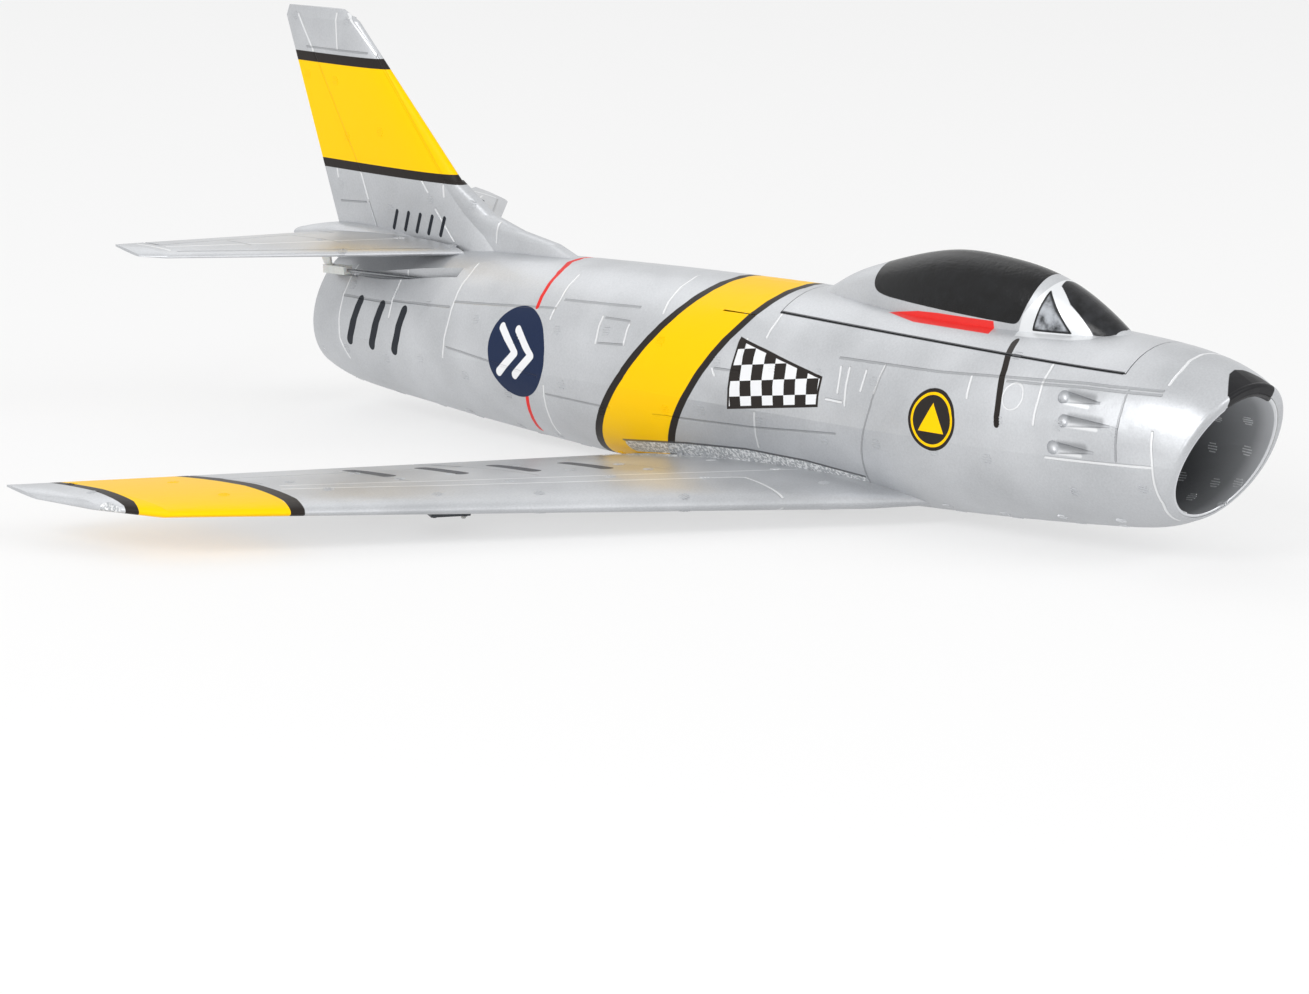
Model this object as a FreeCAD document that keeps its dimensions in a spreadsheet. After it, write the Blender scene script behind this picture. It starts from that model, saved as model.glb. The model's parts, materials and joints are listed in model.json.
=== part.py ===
"""Micro ducted-fan jet plane, moulded foam, built as separate pieces.

Frame: millimetres, nose towards -Y, +Z up, +X to the plane's left.
The origin is on the floor under the middle of the plane, which rests on its belly.
Heights in the sheet are above the datum line, distances are aft of the nose tip.
"""
import FreeCAD
import Part
import Sketcher
import os

Vector = FreeCAD.Vector

doc = FreeCAD.newDocument("jet_plane")
sheet = doc.addObject("Spreadsheet::Sheet", "Sizes")

# ---------------------------------------------------------------- driving sizes
SIZES = {
    # where the datum line and the nose tip lie in the frame
    "datum_height": 33.5, "nose_reach": 237.5,
    # handle length that makes a Bezier quarter round
    "round_handle": 0.5523,
    # foam and fits
    "foam_fit": 0.15, "hatch_gap": 0.35, "hinge_gap": 0.5, "running_fit": 0.05,
    # gun troughs
    "trough_radius": 2.3, "trough_waist": 0.96, "trough_tip": 0.4,
    # hatch outline
    "hatch_front": 36.7, "hatch_back": "=bay_back + 14", "hatch_front_sill": 28.7, "hatch_back_sill": 31.6,
    # battery and equipment bays
    "bay_front": 76.0, "bay_back": "=speed_at + speed_long + speed_end_gap",
    "bay_floor": 10.6, "bay_half": 16.0,
    "nose_bay_front": 48.0, "nose_bay_floor": 18.5, "nose_bay_half": 12.5,
    "nose_bay_back": 72.0, "wire_gap_half": 5.0, "wire_gap_floor": 21.0,
    "hollow_half": 8.0, "hollow_top": 44.0, "hollow_front": 88.0, "hollow_back": 150.0,
    # battery, pad and electronics
    "battery_long": 60.0, "battery_wide": 28.0, "battery_tall": 15.5, "battery_at": 82.0,
    "pad_thick": 1.2, "board_long": 21.0, "board_wide": 20.0, "board_thick": 1.2,
    "chip_size": 6.0, "chip_thick": 1.4,
    "speed_long": 26.0, "speed_wide": 18.0, "speed_thick": 4.5, "speed_gap": 7.0,
    "speed_at": "=battery_at + battery_long + speed_gap", "speed_end_gap": 1.0,
    # duct liner and fan
    "duct_wall": 1.0, "liner_round": 0.8, "lip_round": 2.0, "thrust_line": -1.0,
    "fan_at": 246.0, "fan_long": 27.0,
    "fan_bore": 15.35, "fan_wall": 1.0, "fan_lip": 2.2, "fan_lip_long": 1.5, "fan_tip_gap": 0.35,
    "ear_reach": 21.5, "ear_half": 3.0, "ear_front": 250.0, "ear_back": 254.0,
    "hub_radius": 6.6, "hub_wall": 1.1, "rotor_front": 249.0, "rotor_back": 258.5,
    "boss_radius": 2.2, "blade_count": 8, "blade_chord": 8.2, "blade_bow": 1.4,
    "blade_back_bow": 0.3, "blade_root_pitch": 48.0, "blade_mid_pitch": 57.0, "blade_tip_pitch": 64.0,
    "vane_thick": 1.1, "vane_front": 261.0, "vane_back": 271.0, "tube_front": 259.3, "tube_wall": 1.0,
    "tube_back": 272.0, "motor_radius": 5.6, "motor_front": 259.3, "motor_back": 276.0,
    "motor_nose": 1.6, "shaft_radius": 0.75, "shaft_deep": 268.0, "spinner_tip": 241.0,
    "pipe_wall": 0.8, "pipe_end_radius": 14.3, "pipe_end": 441.0,
    # spar
    "spar_radius": 1.5, "spar_half": 96.0, "spar_at": 206.0, "spar_height": -22.6,
    # wing: root and tip edges
    "wing_root_x": 17.0, "wing_root_le": 119.9, "wing_root_te": 260.3,
    "wing_root_le_z": -24.9, "wing_root_te_z": -27.4, "wing_root_thick": 15.5,
    "wing_root_depth": 8.8,
    "wing_flare_x": 31.0, "wing_flare_thick": 11.6,
    "wing_tip_x": 216.0, "wing_tip_le": 278.2, "wing_tip_te": 342.2,
    "wing_tip_le_z": -18.4, "wing_tip_te_z": -16.6, "wing_tip_thick": 5.2,
    "wing_cap_x": 226.0, "wing_cap_le": 303.0, "wing_cap_thick": 3.2,
    "wing_end_x": 230.5, "wing_end_le": 331.0, "wing_end_te": 348.6, "wing_end_thick": 1.2,
    "edge_thick": 0.7,
    # ailerons
    "aileron_in": 99.0, "aileron_out": 172.0, "aileron_hinge": 0.76, "hinge_rise": 0.26,
    "groove_slope": 0.5, "end_gap": 0.9,
    "aileron_link": 30.0, "aileron_arm": 6.0, "aileron_station": 105.0,
    "wing_servo_low": -7.4, "wing_servo_high": 0.6, "wing_servo_in": 0.9, "wing_servo_out": 14.4,
    "wing_servo_front": 43.2, "wing_servo_back": 26.0, "wing_servo_shaft": -3.4,
    "link_radius": 0.6, "link_over": 0.8, "link_side": 1.9,
    "horn_eye": 1.7, "arm_eye": 2.1, "arm_half": 0.5,
    "stub_radius": 1.0, "stub_deep": 3.0,
    # tailplane
    "tail_root_x": 6.0, "tail_root_le": 370.1, "tail_root_te": 443.0,
    "tail_root_le_z": 31.6, "tail_root_te_z": 32.8, "tail_root_thick": 4.9,
    "tail_tip_x": 84.0, "tail_tip_le": 446.8, "tail_tip_te": 470.2,
    "tail_tip_le_z": 32.4, "tail_tip_te_z": 35.0, "tail_tip_thick": 2.2,
    "tail_end_x": 89.2, "tail_end_le": 457.0, "tail_end_te": 471.6, "tail_end_thick": 1.0,
    "elevator_in": 14.0, "elevator_out": 78.0, "elevator_in_at": 436.0, "elevator_out_at": 459.0,
    "elevator_in_z": 33.4, "elevator_out_z": 34.5,
    # fin
    "fin_root_z": 30.0, "fin_root_le": 349.5, "fin_root_te": 446.8, "fin_root_thick": 8.0,
    "fin_tip_z": 112.5, "fin_tip_le": 432.3, "fin_tip_te": 475.0, "fin_tip_thick": 4.2,
    "fin_cap_z": 116.6, "fin_cap_le": 440.5, "fin_cap_te": 473.0, "fin_cap_thick": 2.0,
    "dorsal_a_z": 33.0, "dorsal_a_le": 308.0, "dorsal_b_z": 38.5, "dorsal_b_le": 323.0,
    "dorsal_c_z": 41.5, "dorsal_c_le": 342.0, "dorsal_d_z": 46.0, "dorsal_d_le": 358.5,
    "dorsal_e_z": 57.0, "dorsal_e_le": 376.5, "dorsal_te": 402.0, "dorsal_thick": 6.0,
    # elevator drive
    "horn_x": 15.6, "horn_drop": 13.0, "horn_half": 0.5, "pin_radius": 0.5, "pin_play": 0.5,
    "tail_pin_play": 0.64,
    "bar_at": 437.5, "bar_z": 30.4, "bar_radius": 0.7, "bar_reach": 19.5, "tab_in": 16.8,
    "tab_back": 443.0, "tab_top": 31.4, "bar_play": 0.6,
    "tail_arm": 8.0, "tail_arm_play": 0.9, "tail_arm_in": 17.4, "tail_arm_out": 18.6,
    "tail_shaft_at": 208.0, "tail_shaft_z": 19.5, "tail_servo_half": 4.1, "tail_servo_front": 203.5,
    "tail_servo_back": 220.5, "tail_servo_in": 5.5, "tail_servo_out": 16.5, "arm_bay_out": 22.6,
    "rod_radius": 0.6, "rod_x": 20.4, "sleeve_radius": 1.7, "sleeve_bore": 1.35,
    "sleeve_front": 226.0, "sleeve_back": 352.0, "slot_front": 359.0, "slot_half": 1.85,
    "clevis_long": 11.0, "clevis_gap": 1.2, "clevis_cheek": 0.9, "clevis_tall": 1.5,
    # magnets
    "magnet_radius": 2.5, "magnet_thick": 2.0, "magnet_sink": 0.15,
    "front_magnet_at": 42.5, "back_magnet_at": "=bay_back + 7",
}

# fuselage stations: at, rake, half width, waterline, top, low, side handle, crown handle, keel handle
STATIONS = {
    "lip": (14.4, 26, 25.2, 2.0, 29.9, -22.9, .56, .56, .56),
    "cheek": (26.0, 17, 28.6, 2.5, 34.2, -24.6, .56, .56, .56),
    "guns": (45.0, 7, 32.0, 2.0, 36.3, -25.6, .56, .56, .56),
    "front": (72.0, 0, 34.3, 1.0, 37.4, -27.4, .56, .56, .56),
    "cabin": (108.0, 0, 35.4, 0.5, 37.8, -29.8, .56, .56, .56),
    "sill": (150.0, 0, 36.1, 0.3, 37.8, -31.8, .56, .56, .56),
    "wings": (192.0, 0, 36.3, 0.2, 37.6, -33.2, .56, .56, .56),
    "waist": (236.0, 0, 36.2, 0.0, 37.0, -33.5, .56, .56, .56),
    "rear": (280.0, 0, 35.4, -0.5, 36.0, -33.0, .56, .56, .56),
    "boom": (322.0, 0, 33.3, -0.8, 34.6, -31.4, .56, .56, .54),
    "spine": (362.0, 0, 30.3, -1.2, 33.0, -29.2, .56, .53, .54),
    "tail": (400.0, 0, 26.2, -1.8, 29.5, -26.6, .52, .48, .55),
    "pipe": (425.0, 0, 22.8, -2.0, 27.0, -24.6, .5, .45, .56),
    "end": (443.0, 0, 19.5, -1.2, 24.5, -20.6, .5, .42, .56),
}
# canopy bubble stations: at, half width, waterline, top
CANOPY = {
    "canopy_a": (51.0, 3.5, 33.0, 36.6),
    "canopy_b": (62.0, 8.0, 34.5, 43.2),
    "canopy_c": (76.0, 11.0, 36.0, 50.3),
    "canopy_d": (91.0, 12.6, 37.0, 54.6),
    "canopy_e": (107.0, 13.4, 37.5, 56.5),
    "canopy_f": (124.0, 13.4, 37.5, 56.9),
    "canopy_g": (142.0, 12.4, 37.0, 54.0),
    "canopy_h": (160.0, 10.2, 36.0, 49.0),
    "canopy_i": (176.0, 7.4, 35.0, 43.0),
    "canopy_j": (191.0, 3.5, 33.5, 36.8),
}
# duct liner stations, inside faces: at, rake, half width, waterline, top, low
DUCT = {
    "mouth": (12.6, 26, 21.2, 1.0, 24.8, -19.8),
    "throat": (42.0, 9, 19.6, -2.0, 15.5, -20.8),
    "drop": (76.0, 0, 18.6, -8.0, 7.5, -22.8),
    "under": (120.0, 0, 18.0, -9.5, 6.0, -25.0),
    "rise": (176.0, 0, 17.0, -6.6, 8.0, -22.0),
    "neck": (222.0, 0, 15.8, -1.6, 14.0, -17.2),
}
# tail fairing stations under the rudder: at, half width, waterline, top, low
FAIRING = {
    "fair_a": (380.0, 5.0, 29.0, 32.5, 20.0),
    "fair_b": (408.0, 8.0, 30.0, 35.2, 20.0),
    "fair_c": (438.0, 8.2, 30.5, 36.0, 22.0),
    "fair_d": (458.0, 6.4, 30.3, 33.8, 26.2),
    "fair_e": (471.2, 4.4, 29.6, 31.2, 28.0),
}

# steps round a quarter circle of radius one: ahead, inset
QUARTER_ROUND = ((0, 0), (0.5, 0.134), (0.866, 0.5), (0.98, 0.8))
# gun troughs: centre of the round back end, then the tip: out, at, height
TROUGHS = {
    "upper_gun": (28.6, 55.0, 20.4, 27.1, 40.6, 19.6),
    "middle_gun": (31.9, 52.6, 13.4, 29.3, 34.8, 13.2),
    "lower_gun": (33.4, 55.6, 4.5, 31.5, 39.8, 4.4),
}

for prefix, row in STATIONS.items():
    for word, number in zip(("at", "rake", "half", "mid", "top", "low", "side", "crown", "keel"), row):
        SIZES[f"{prefix}_{word}"] = number
for prefix, row in CANOPY.items():
    for word, number in zip(("at", "half", "mid", "top"), row):
        SIZES[f"{prefix}_{word}"] = number
for prefix, row in DUCT.items():
    for word, number in zip(("at", "rake", "half", "mid", "top", "low"), row):
        SIZES[f"{prefix}_{word}"] = number
for prefix, row in FAIRING.items():
    for word, number in zip(("at", "half", "mid", "top", "low"), row):
        SIZES[f"{prefix}_{word}"] = number

for prefix, row in TROUGHS.items():
    for word, number in zip(("back_x", "back_at", "back_z", "tip_x", "tip_at", "tip_z"), row):
        SIZES[f"{prefix}_{word}"] = number

# names first, because a size may be worked out from a later one
for number, alias in enumerate(SIZES, start=1):
    sheet.set(f"A{number}", alias.replace("_", " "))
    sheet.setAlias(f"B{number}", alias)
for number, size in enumerate(SIZES.values(), start=1):
    sheet.set(f"B{number}", str(size))
doc.recompute()


# ---------------------------------------------------------------- small helpers
def S(text):
    """Turn words that name cells into references to the sheet."""
    out = []
    word = ""
    for letter in text + " ":
        if letter.isalnum() or letter == "_" or (letter == "." and word[-1:].isdigit()):
            word += letter
        else:
            out.append(f"Sizes.{word}" if word in SIZES else word)
            word = ""
            out.append(letter)
    return "".join(out).strip()


def value(text):
    """The number that an expression in sheet words gives now."""
    return float(sheet.evalExpression(S(text)))


def aft(at):
    return f"({at} - nose_reach)"


def up(height):
    return f"({height} + datum_height)"


def new_body(name):
    body = doc.addObject("PartDesign::Body", name)
    body.Label = name
    return body


def sketch(body, name, role, offset="placement(vector(0;0;0); rotation(vector(0;0;1);0))"):
    """A sketch on one of the body's own origin planes, moved by an expression."""
    made = body.newObject("Sketcher::SketchObject", name)
    plane = [feature for feature in body.Origin.OriginFeatures if feature.Role == role][0]
    made.AttachmentSupport = [(plane, "")]
    made.MapMode = "FlatFace"
    made.setExpression("AttachmentOffset", S(offset))
    return made


def pin(made, geometry, end, across, along):
    """Hold one point of a sketch at two expressions."""
    for kind, text in (("DistanceX", across), ("DistanceY", along)):
        index = made.addConstraint(Sketcher.Constraint(kind, -1, 1, geometry, end, value(text)))
        if text != "0":
            made.setExpression(f"Constraints[{index}]", S(text))


def loop(made, curves):
    """A closed outline of straight runs (2 points) and cubic Bezier runs (4 points)."""
    first = []
    for points in curves:
        spots = [Vector(value(across), value(along), 0) for across, along in points]
        if len(points) == 2:
            geometry = made.addGeometry(Part.LineSegment(*spots), False)
            pin(made, geometry, 1, *points[0])
        else:
            curve = Part.BSplineCurve()
            curve.buildFromPolesMultsKnots(spots, [4, 4], [0, 1], False, 3)
            geometry = made.addGeometry(curve, False)
            made.exposeInternalGeometry(geometry)
            for step in range(3):
                pin(made, geometry + 1 + step, 3, *points[step])
        first.append(geometry)
    for here, there in zip(first, first[1:] + first[:1]):
        made.addConstraint(Sketcher.Constraint("Coincident", here, 2, there, 1))


def polygon(made, corners):
    loop(made, [list(pair) for pair in zip(corners, corners[1:] + corners[:1])])


def oval_curves(half, mid, top, low, side, crown, keel):
    """Four Bezier quarters round an oval; every argument is an expression."""
    curves = []
    for sign, level, rise, reach in (("", top, side, crown), ("-", top, side, crown),
                                     ("-", low, keel, keel), ("", low, keel, keel)):
        quarter = [(f"{sign}({half})", mid),
                   (f"{sign}({half})", f"{mid} + {rise}*({level} - ({mid}))"),
                   (f"{sign}{reach}*({half})", level),
                   ("0", level)]
        curves.append(quarter)
    curves[1].reverse()
    curves[3].reverse()
    return curves


def cross_section(body, name, at, curves, rake="0"):
    """An outline on a plane across the plane's length, leaning forward by rake."""
    made = sketch(body, name, "XZ_Plane",
                  f"placement(vector(0;datum_height;-{aft(at)}); rotation(vector(1;0;0);{rake}))")
    loop(made, curves)
    return made


def loft(body, name, outlines, ruled=False, kind="AdditiveLoft"):
    made = body.newObject(f"PartDesign::{kind}", name)
    made.Profile = outlines[0]
    made.Sections = outlines[1:]
    made.Ruled = ruled
    doc.recompute()
    return made


def box(name, x, y, z):
    """A block between expression limits (low, high) along each axis."""
    made = doc.addObject("Part::Box", name)
    for size, place, (low, high) in (("Length", "x", x), ("Width", "y", y), ("Height", "z", z)):
        made.setExpression(size, S(f"{high} - ({low})"))
        made.setExpression(f"Placement.Base.{place}", S(low))
    return made


TURNS = {"x": "rotation(vector(0;1;0);90)", "y": "rotation(vector(1;0;0);-90)",
         "z": "rotation(vector(0;0;1);0)"}


def cylinder(name, radius, length, base, direction):
    """A round bar from a base point, along one of the frame's axes."""
    made = doc.addObject("Part::Cylinder", name)
    made.setExpression("Radius", S(radius))
    made.setExpression("Height", S(length))
    made.setExpression("Placement", S(spot(base, TURNS[direction])))
    return made


def fuse(name, shapes):
    made = doc.addObject("Part::MultiFuse", name)
    made.Shapes = shapes
    return made


def cut(name, base, *tools):
    made = doc.addObject("Part::Cut", name)
    made.Base = base
    made.Tool = tools[0] if len(tools) == 1 else fuse(f"{name}_tools", list(tools))
    return made


def common(name, base, tool):
    made = doc.addObject("Part::Common", name)
    made.Base = base
    made.Tool = tool
    return made


def mirrored(name, source):
    made = doc.addObject("Part::Mirroring", name)
    made.Source = source
    made.Normal = Vector(1, 0, 0)
    return made


nodes = {}


def node(name, shape):
    shape.Label = name
    nodes[name] = shape
    return shape


# ---------------------------------------------------------------- fuselage skin
def fuselage_skin():
    body = new_body("skin_form")
    outlines = []
    for prefix in STATIONS:
        words = [f"{prefix}_{word}" for word in ("half", "mid", "top", "low", "side", "crown", "keel")]
        outlines.append(cross_section(body, f"{prefix}_outline", f"{prefix}_at", oval_curves(*words),
                                      f"{prefix}_rake"))
    loft(body, "skin_loft", outlines)
    rounding = []
    for number, (ahead, inset) in enumerate(QUARTER_ROUND):
        inset = f"{inset}*lip_round"
        curves = oval_curves(f"lip_half - {inset}", "lip_mid", f"lip_top - {inset}",
                             f"lip_low + {inset}", "lip_side", "lip_crown", "lip_keel")
        rounding.append(cross_section(body, f"lip_round_{number}", f"lip_at - {ahead}*lip_round",
                                      curves, "lip_rake"))
    loft(body, "lip_loft", rounding)
    return body


def oval_loft(name, rows, low=None):
    """A loft through plain ovals whose stations are (prefix) rows of the sheet."""
    body = new_body(name)
    outlines = []
    for prefix in rows:
        words = [f"{prefix}_half", f"{prefix}_mid", f"{prefix}_top", low or f"{prefix}_low"]
        words += ["round_handle"] * 3
        outlines.append(cross_section(body, f"{prefix}_outline", f"{prefix}_at", oval_curves(*words)))
    loft(body, f"{name}_loft", outlines)
    return body


def duct_outline(body, name, prefix, grow, shift=""):
    curves = oval_curves(f"{prefix}_half + {grow}", f"{prefix}_mid", f"{prefix}_top + {grow}",
                         f"{prefix}_low - ({grow})", *["round_handle"] * 3)
    return cross_section(body, name, f"{prefix}_at{shift}", curves, f"{prefix}_rake")


def duct_form(name, grow):
    """The intake passage, grown by an expression."""
    body = new_body(name)
    outlines = [duct_outline(body, f"{name}_{prefix}", prefix, grow) for prefix in DUCT]
    round_end = oval_curves(f"fan_bore + {grow}", "thrust_line", f"thrust_line + fan_bore + {grow}",
                            f"thrust_line - fan_bore - ({grow})", *["round_handle"] * 3)
    outlines.append(cross_section(body, f"{name}_fan", "fan_at", round_end))
    loft(body, f"{name}_loft", outlines)
    return body


def mouth_form(name, grow, reach):
    """The mouth's outline, reached straight forward."""
    body = new_body(name)
    outlines = [duct_outline(body, f"{name}_{number}", "mouth", grow, shift)
                for number, shift in enumerate(("", f" - {reach}"))]
    loft(body, f"{name}_loft", outlines, ruled=True)
    return body


def mouth_flare():
    """The rounded inner edge of the liner's front end."""
    body = new_body("mouth_flare")
    outlines = [duct_outline(body, f"mouth_flare_{number}", "mouth", f"({inset} - 0.12)*liner_round",
                             f" + (0.95 - {ahead})*liner_round")
                for number, (ahead, inset) in enumerate(QUARTER_ROUND)]
    loft(body, "mouth_flare_loft", outlines)
    return body


# ---------------------------------------------------------------- flying surfaces
def along(surface, word, x):
    """A root-to-tip measure of a surface at a distance out from the middle."""
    root, tip = f"{surface}_root_{word}", f"{surface}_tip_{word}"
    return f"({root} + ({tip} - {root})*({x} - {surface}_root_x)/({surface}_tip_x - {surface}_root_x))"


def foil_curves(le, te, le_height, te_height, thick, depth):
    """A cambered section: two Bezier runs and a blunt trailing edge."""
    chord = f"({te} - {le})"
    belly = f"{le_height} + 0.35*({te_height} - ({le_height}))"
    top = [(le, le_height), (le, f"{le_height} + 0.56*{thick}"),
           (f"{le} + 0.35*{chord}", f"{belly} + 0.86*{thick}"), (te, f"{te_height} + edge_thick/2")]
    low = [(te, f"{te_height} - edge_thick/2"), (f"{le} + 0.35*{chord}", f"{belly} - 0.68*{depth}"),
           (le, f"{le_height} - 0.46*{depth}"), (le, le_height)]
    return [top, [top[3], low[0]], low]


def rib(body, name, x, le, te, le_z, te_z, thick, depth=None):
    made = sketch(body, name, "YZ_Plane", f"placement(vector(0;0;{x}); rotation(vector(0;0;1);0))")
    loop(made, foil_curves(aft(le), aft(te), up(le_z), up(te_z), thick, depth or thick))
    return made


def wing_form():
    body = new_body("wing_form")
    ribs = [rib(body, "wing_root_rib", "wing_root_x", "wing_root_le", "wing_root_te",
                "wing_root_le_z", "wing_root_te_z", "wing_root_thick", "wing_root_depth")]
    flare = [along("wing", word, "wing_flare_x") for word in ("le", "te", "le_z", "te_z")]
    ribs.append(rib(body, "wing_flare_rib", "wing_flare_x", *flare, "wing_flare_thick"))
    ribs.append(rib(body, "wing_tip_rib", "wing_tip_x", "wing_tip_le", "wing_tip_te",
                    "wing_tip_le_z", "wing_tip_te_z", "wing_tip_thick"))
    cap = [along("wing", word, "wing_cap_x") for word in ("te", "le_z", "te_z")]
    ribs.append(rib(body, "wing_cap_rib", "wing_cap_x", "wing_cap_le", *cap, "wing_cap_thick"))
    end = [along("wing", word, "wing_end_x") for word in ("le_z", "te_z")]
    ribs.append(rib(body, "wing_end_rib", "wing_end_x", "wing_end_le", "wing_end_te", *end,
                    "wing_end_thick"))
    loft(body, "wing_loft", ribs, ruled=True)
    return body


def tail_form():
    body = new_body("tail_form")
    ribs = [rib(body, "tail_root_rib", "tail_root_x", "tail_root_le", "tail_root_te",
                "tail_root_le_z", "tail_root_te_z", "tail_root_thick")]
    ribs.append(rib(body, "tail_tip_rib", "tail_tip_x", "tail_tip_le", "tail_tip_te",
                    "tail_tip_le_z", "tail_tip_te_z", "tail_tip_thick"))
    end = [along("tail", word, "tail_end_x") for word in ("le_z", "te_z")]
    ribs.append(rib(body, "tail_end_rib", "tail_end_x", "tail_end_le", "tail_end_te", *end,
                    "tail_end_thick"))
    loft(body, "tail_loft", ribs, ruled=True)
    return body


def control_region(name, stations, grow):
    """The space behind a hinge line; grow widens it past the surface's own gaps.

    Each station is (x, hinge y, hinge z). The front face drops straight from the hinge when
    grown, and slopes back as the bevel of the moving piece when not.
    """
    body = new_body(name)
    outlines = []
    deep, high, behind = 9, 7, 70
    (first_x, first_y, first_z), (last_x, last_y, last_z) = stations
    for number, (x, hinge_y, hinge_z) in enumerate(stations):
        reach = ("end_gap" if number else "(0 - end_gap)") if grow else "0"
        place = f"{x} + {reach}"
        hinge_y = f"({hinge_y} + {reach}*({last_y} - {first_y})/({last_x} - {first_x}))"
        hinge_z = f"({hinge_z} + {reach}*({last_z} - {first_z})/({last_x} - {first_x}))"
        face = f"{hinge_y} - hinge_gap/2" if grow else f"{hinge_y} + hinge_gap/2"
        lean = "0" if grow else f"{deep}*groove_slope"
        made = sketch(body, f"{name}_{number}", "YZ_Plane",
                      f"placement(vector(0;0;{place}); rotation(vector(0;0;1);0))")
        polygon(made, [(face, f"{hinge_z} + {high}"), (face, hinge_z),
                       (f"{face} + {lean}", f"{hinge_z} - {deep}"),
                       (f"{hinge_y} + {behind}", f"{hinge_z} - {deep}"),
                       (f"{hinge_y} + {behind}", f"{hinge_z} + {high}")])
        outlines.append(made)
    loft(body, f"{name}_loft", outlines, ruled=True)
    return body


def aileron_hinge_at(x):
    le, te = along("wing", "le", x), along("wing", "te", x)
    le_z, te_z = along("wing", "le_z", x), along("wing", "te_z", x)
    thick = (f"(wing_flare_thick + (wing_tip_thick - wing_flare_thick)"
             f"*({x} - wing_flare_x)/(wing_tip_x - wing_flare_x))")
    y = f"({aft(f'({le} + aileron_hinge*({te} - {le}))')})"
    z = f"({up(f'({le_z} + aileron_hinge*({te_z} - {le_z}) + hinge_rise*{thick})')})"
    return y, z


AILERON_ENDS = [("aileron_in", *aileron_hinge_at("aileron_in")),
                ("aileron_out", *aileron_hinge_at("aileron_out"))]
ELEVATOR_ENDS = [("elevator_in", aft("elevator_in_at"), up("elevator_in_z")),
                 ("elevator_out", aft("elevator_out_at"), up("elevator_out_z"))]


# ---------------------------------------------------------------- frames and forms
# the aileron link's frame: on the hinge, x along it, y aft across it, z up
LINK_Y, LINK_Z = aileron_hinge_at("aileron_station")
HINGE_RUN = "(aileron_out - aileron_in)"
SWEEP = f"atan(({AILERON_ENDS[1][1]} - {AILERON_ENDS[0][1]})/{HINGE_RUN})"
RISE = f"atan(({AILERON_ENDS[1][2]} - {AILERON_ENDS[0][2]})/{HINGE_RUN}*cos({SWEEP}))"
LINK = (f"placement(vector(aileron_station;{LINK_Y};{LINK_Z}); rotation(vector(0;0;1);{SWEEP}))"
        f"*placement(vector(0;0;0); rotation(vector(0;1;0);-{RISE}))")

# the elevator pushrod's frame: on the horn's pin, y aft along the rod
PIN_AT = ("(elevator_in_at + (horn_x - elevator_in)"
          "*(elevator_out_at - elevator_in_at)/(elevator_out - elevator_in))")
PIN_Z = "(elevator_in_z - horn_drop)"
ROD_RUN = f"({PIN_AT} - tail_shaft_at)"
ROD_DROP = f"(tail_shaft_z + tail_arm - {PIN_Z})"
ROD = (f"placement(vector(-horn_x;{aft(PIN_AT)};{up(PIN_Z)}); "
       f"rotation(vector(0;0;1);-atan((rod_x - horn_x)/{ROD_RUN})))"
       f"*placement(vector(0;0;0); rotation(vector(1;0;0);-atan({ROD_DROP}/{ROD_RUN})))")

# the fan's frame: on the thrust line, level with the nose tip
THRUST = f"placement(vector(0;-nose_reach;{up('thrust_line')}); rotation(vector(0;0;1);0))"


def spot(base, turn="rotation(vector(0;0;1);0)"):
    return f"placement(vector({base[0]};{base[1]};{base[2]}); {turn})"


def box_in(frame, name, x, y, z):
    """A block between limits given in one of the frames above."""
    made = doc.addObject("Part::Box", name)
    for size, (low, high) in (("Length", x), ("Width", y), ("Height", z)):
        made.setExpression(size, S(f"{high} - ({low})"))
    made.setExpression("Placement", S(f"{frame}*{spot((x[0], y[0], z[0]))}"))
    return made


def bar_in(frame, name, radius, length, base, direction):
    """A round bar in one of the frames above."""
    made = doc.addObject("Part::Cylinder", name)
    made.setExpression("Radius", S(radius))
    made.setExpression("Height", S(length))
    made.setExpression("Placement", S(f"{frame}*{spot(base, TURNS[direction])}"))
    return made


def plate(name, frame, corners, low, high):
    """A flat plate across x in a frame: corners are (y, z)."""
    body = new_body(name)
    made = sketch(body, f"{name}_outline", "YZ_Plane", spot(("0", "0", low)))
    polygon(made, corners)
    pad = body.newObject("PartDesign::Pad", f"{name}_pad")
    pad.Profile = made
    pad.setExpression("Length", S(f"{high} - ({low})"))
    body.setExpression("Placement", S(frame))
    doc.recompute()
    return body


def turned(name, curves):
    """A body turned about the thrust line; its points are (aft of the nose tip, radius)."""
    body = new_body(name)
    made = sketch(body, f"{name}_profile", "YZ_Plane", spot(("-nose_reach", up("thrust_line"), "0")))
    loop(made, curves)
    turn = body.newObject("PartDesign::Revolution", f"{name}_turn")
    turn.Profile = made
    turn.ReferenceAxis = (made, ["H_Axis"])
    turn.Angle = 360
    doc.recompute()
    return body


def ring(name, corners):
    return turned(name, [list(pair) for pair in zip(corners, corners[1:] + corners[:1])])


def sill(at):
    """Height of the hatch line."""
    return (f"(hatch_front_sill + (hatch_back_sill - hatch_front_sill)"
            f"*({at} - hatch_front)/(hatch_back - hatch_front))")


def hatch_block(name, grow):
    front, back = f"(hatch_front - {grow})", f"(hatch_back + {grow})"
    corners = [(aft(front), up(f"{sill(front)} - {grow}")), (aft(back), up(f"{sill(back)} - {grow}")),
               (aft(back), up("70")), (aft(front), up("70"))]
    return plate(name, spot(("0", "0", "0")), corners, "-60", "60")


def lens(made, le, te, half):
    """A fin section, blunt at its trailing edge."""
    belly = f"({le} + 0.3*({te} - {le}))"
    left = [("0", aft(le)), (half, aft(f"({le} + 0.02*({te} - {le}))")), (half, aft(belly)),
            ("edge_thick/2", aft(te))]
    right = [(f"-({across})", along_it) if across != "0" else (across, along_it)
             for across, along_it in left]
    loop(made, [left, [left[3], right[3]], right[::-1]])


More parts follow.
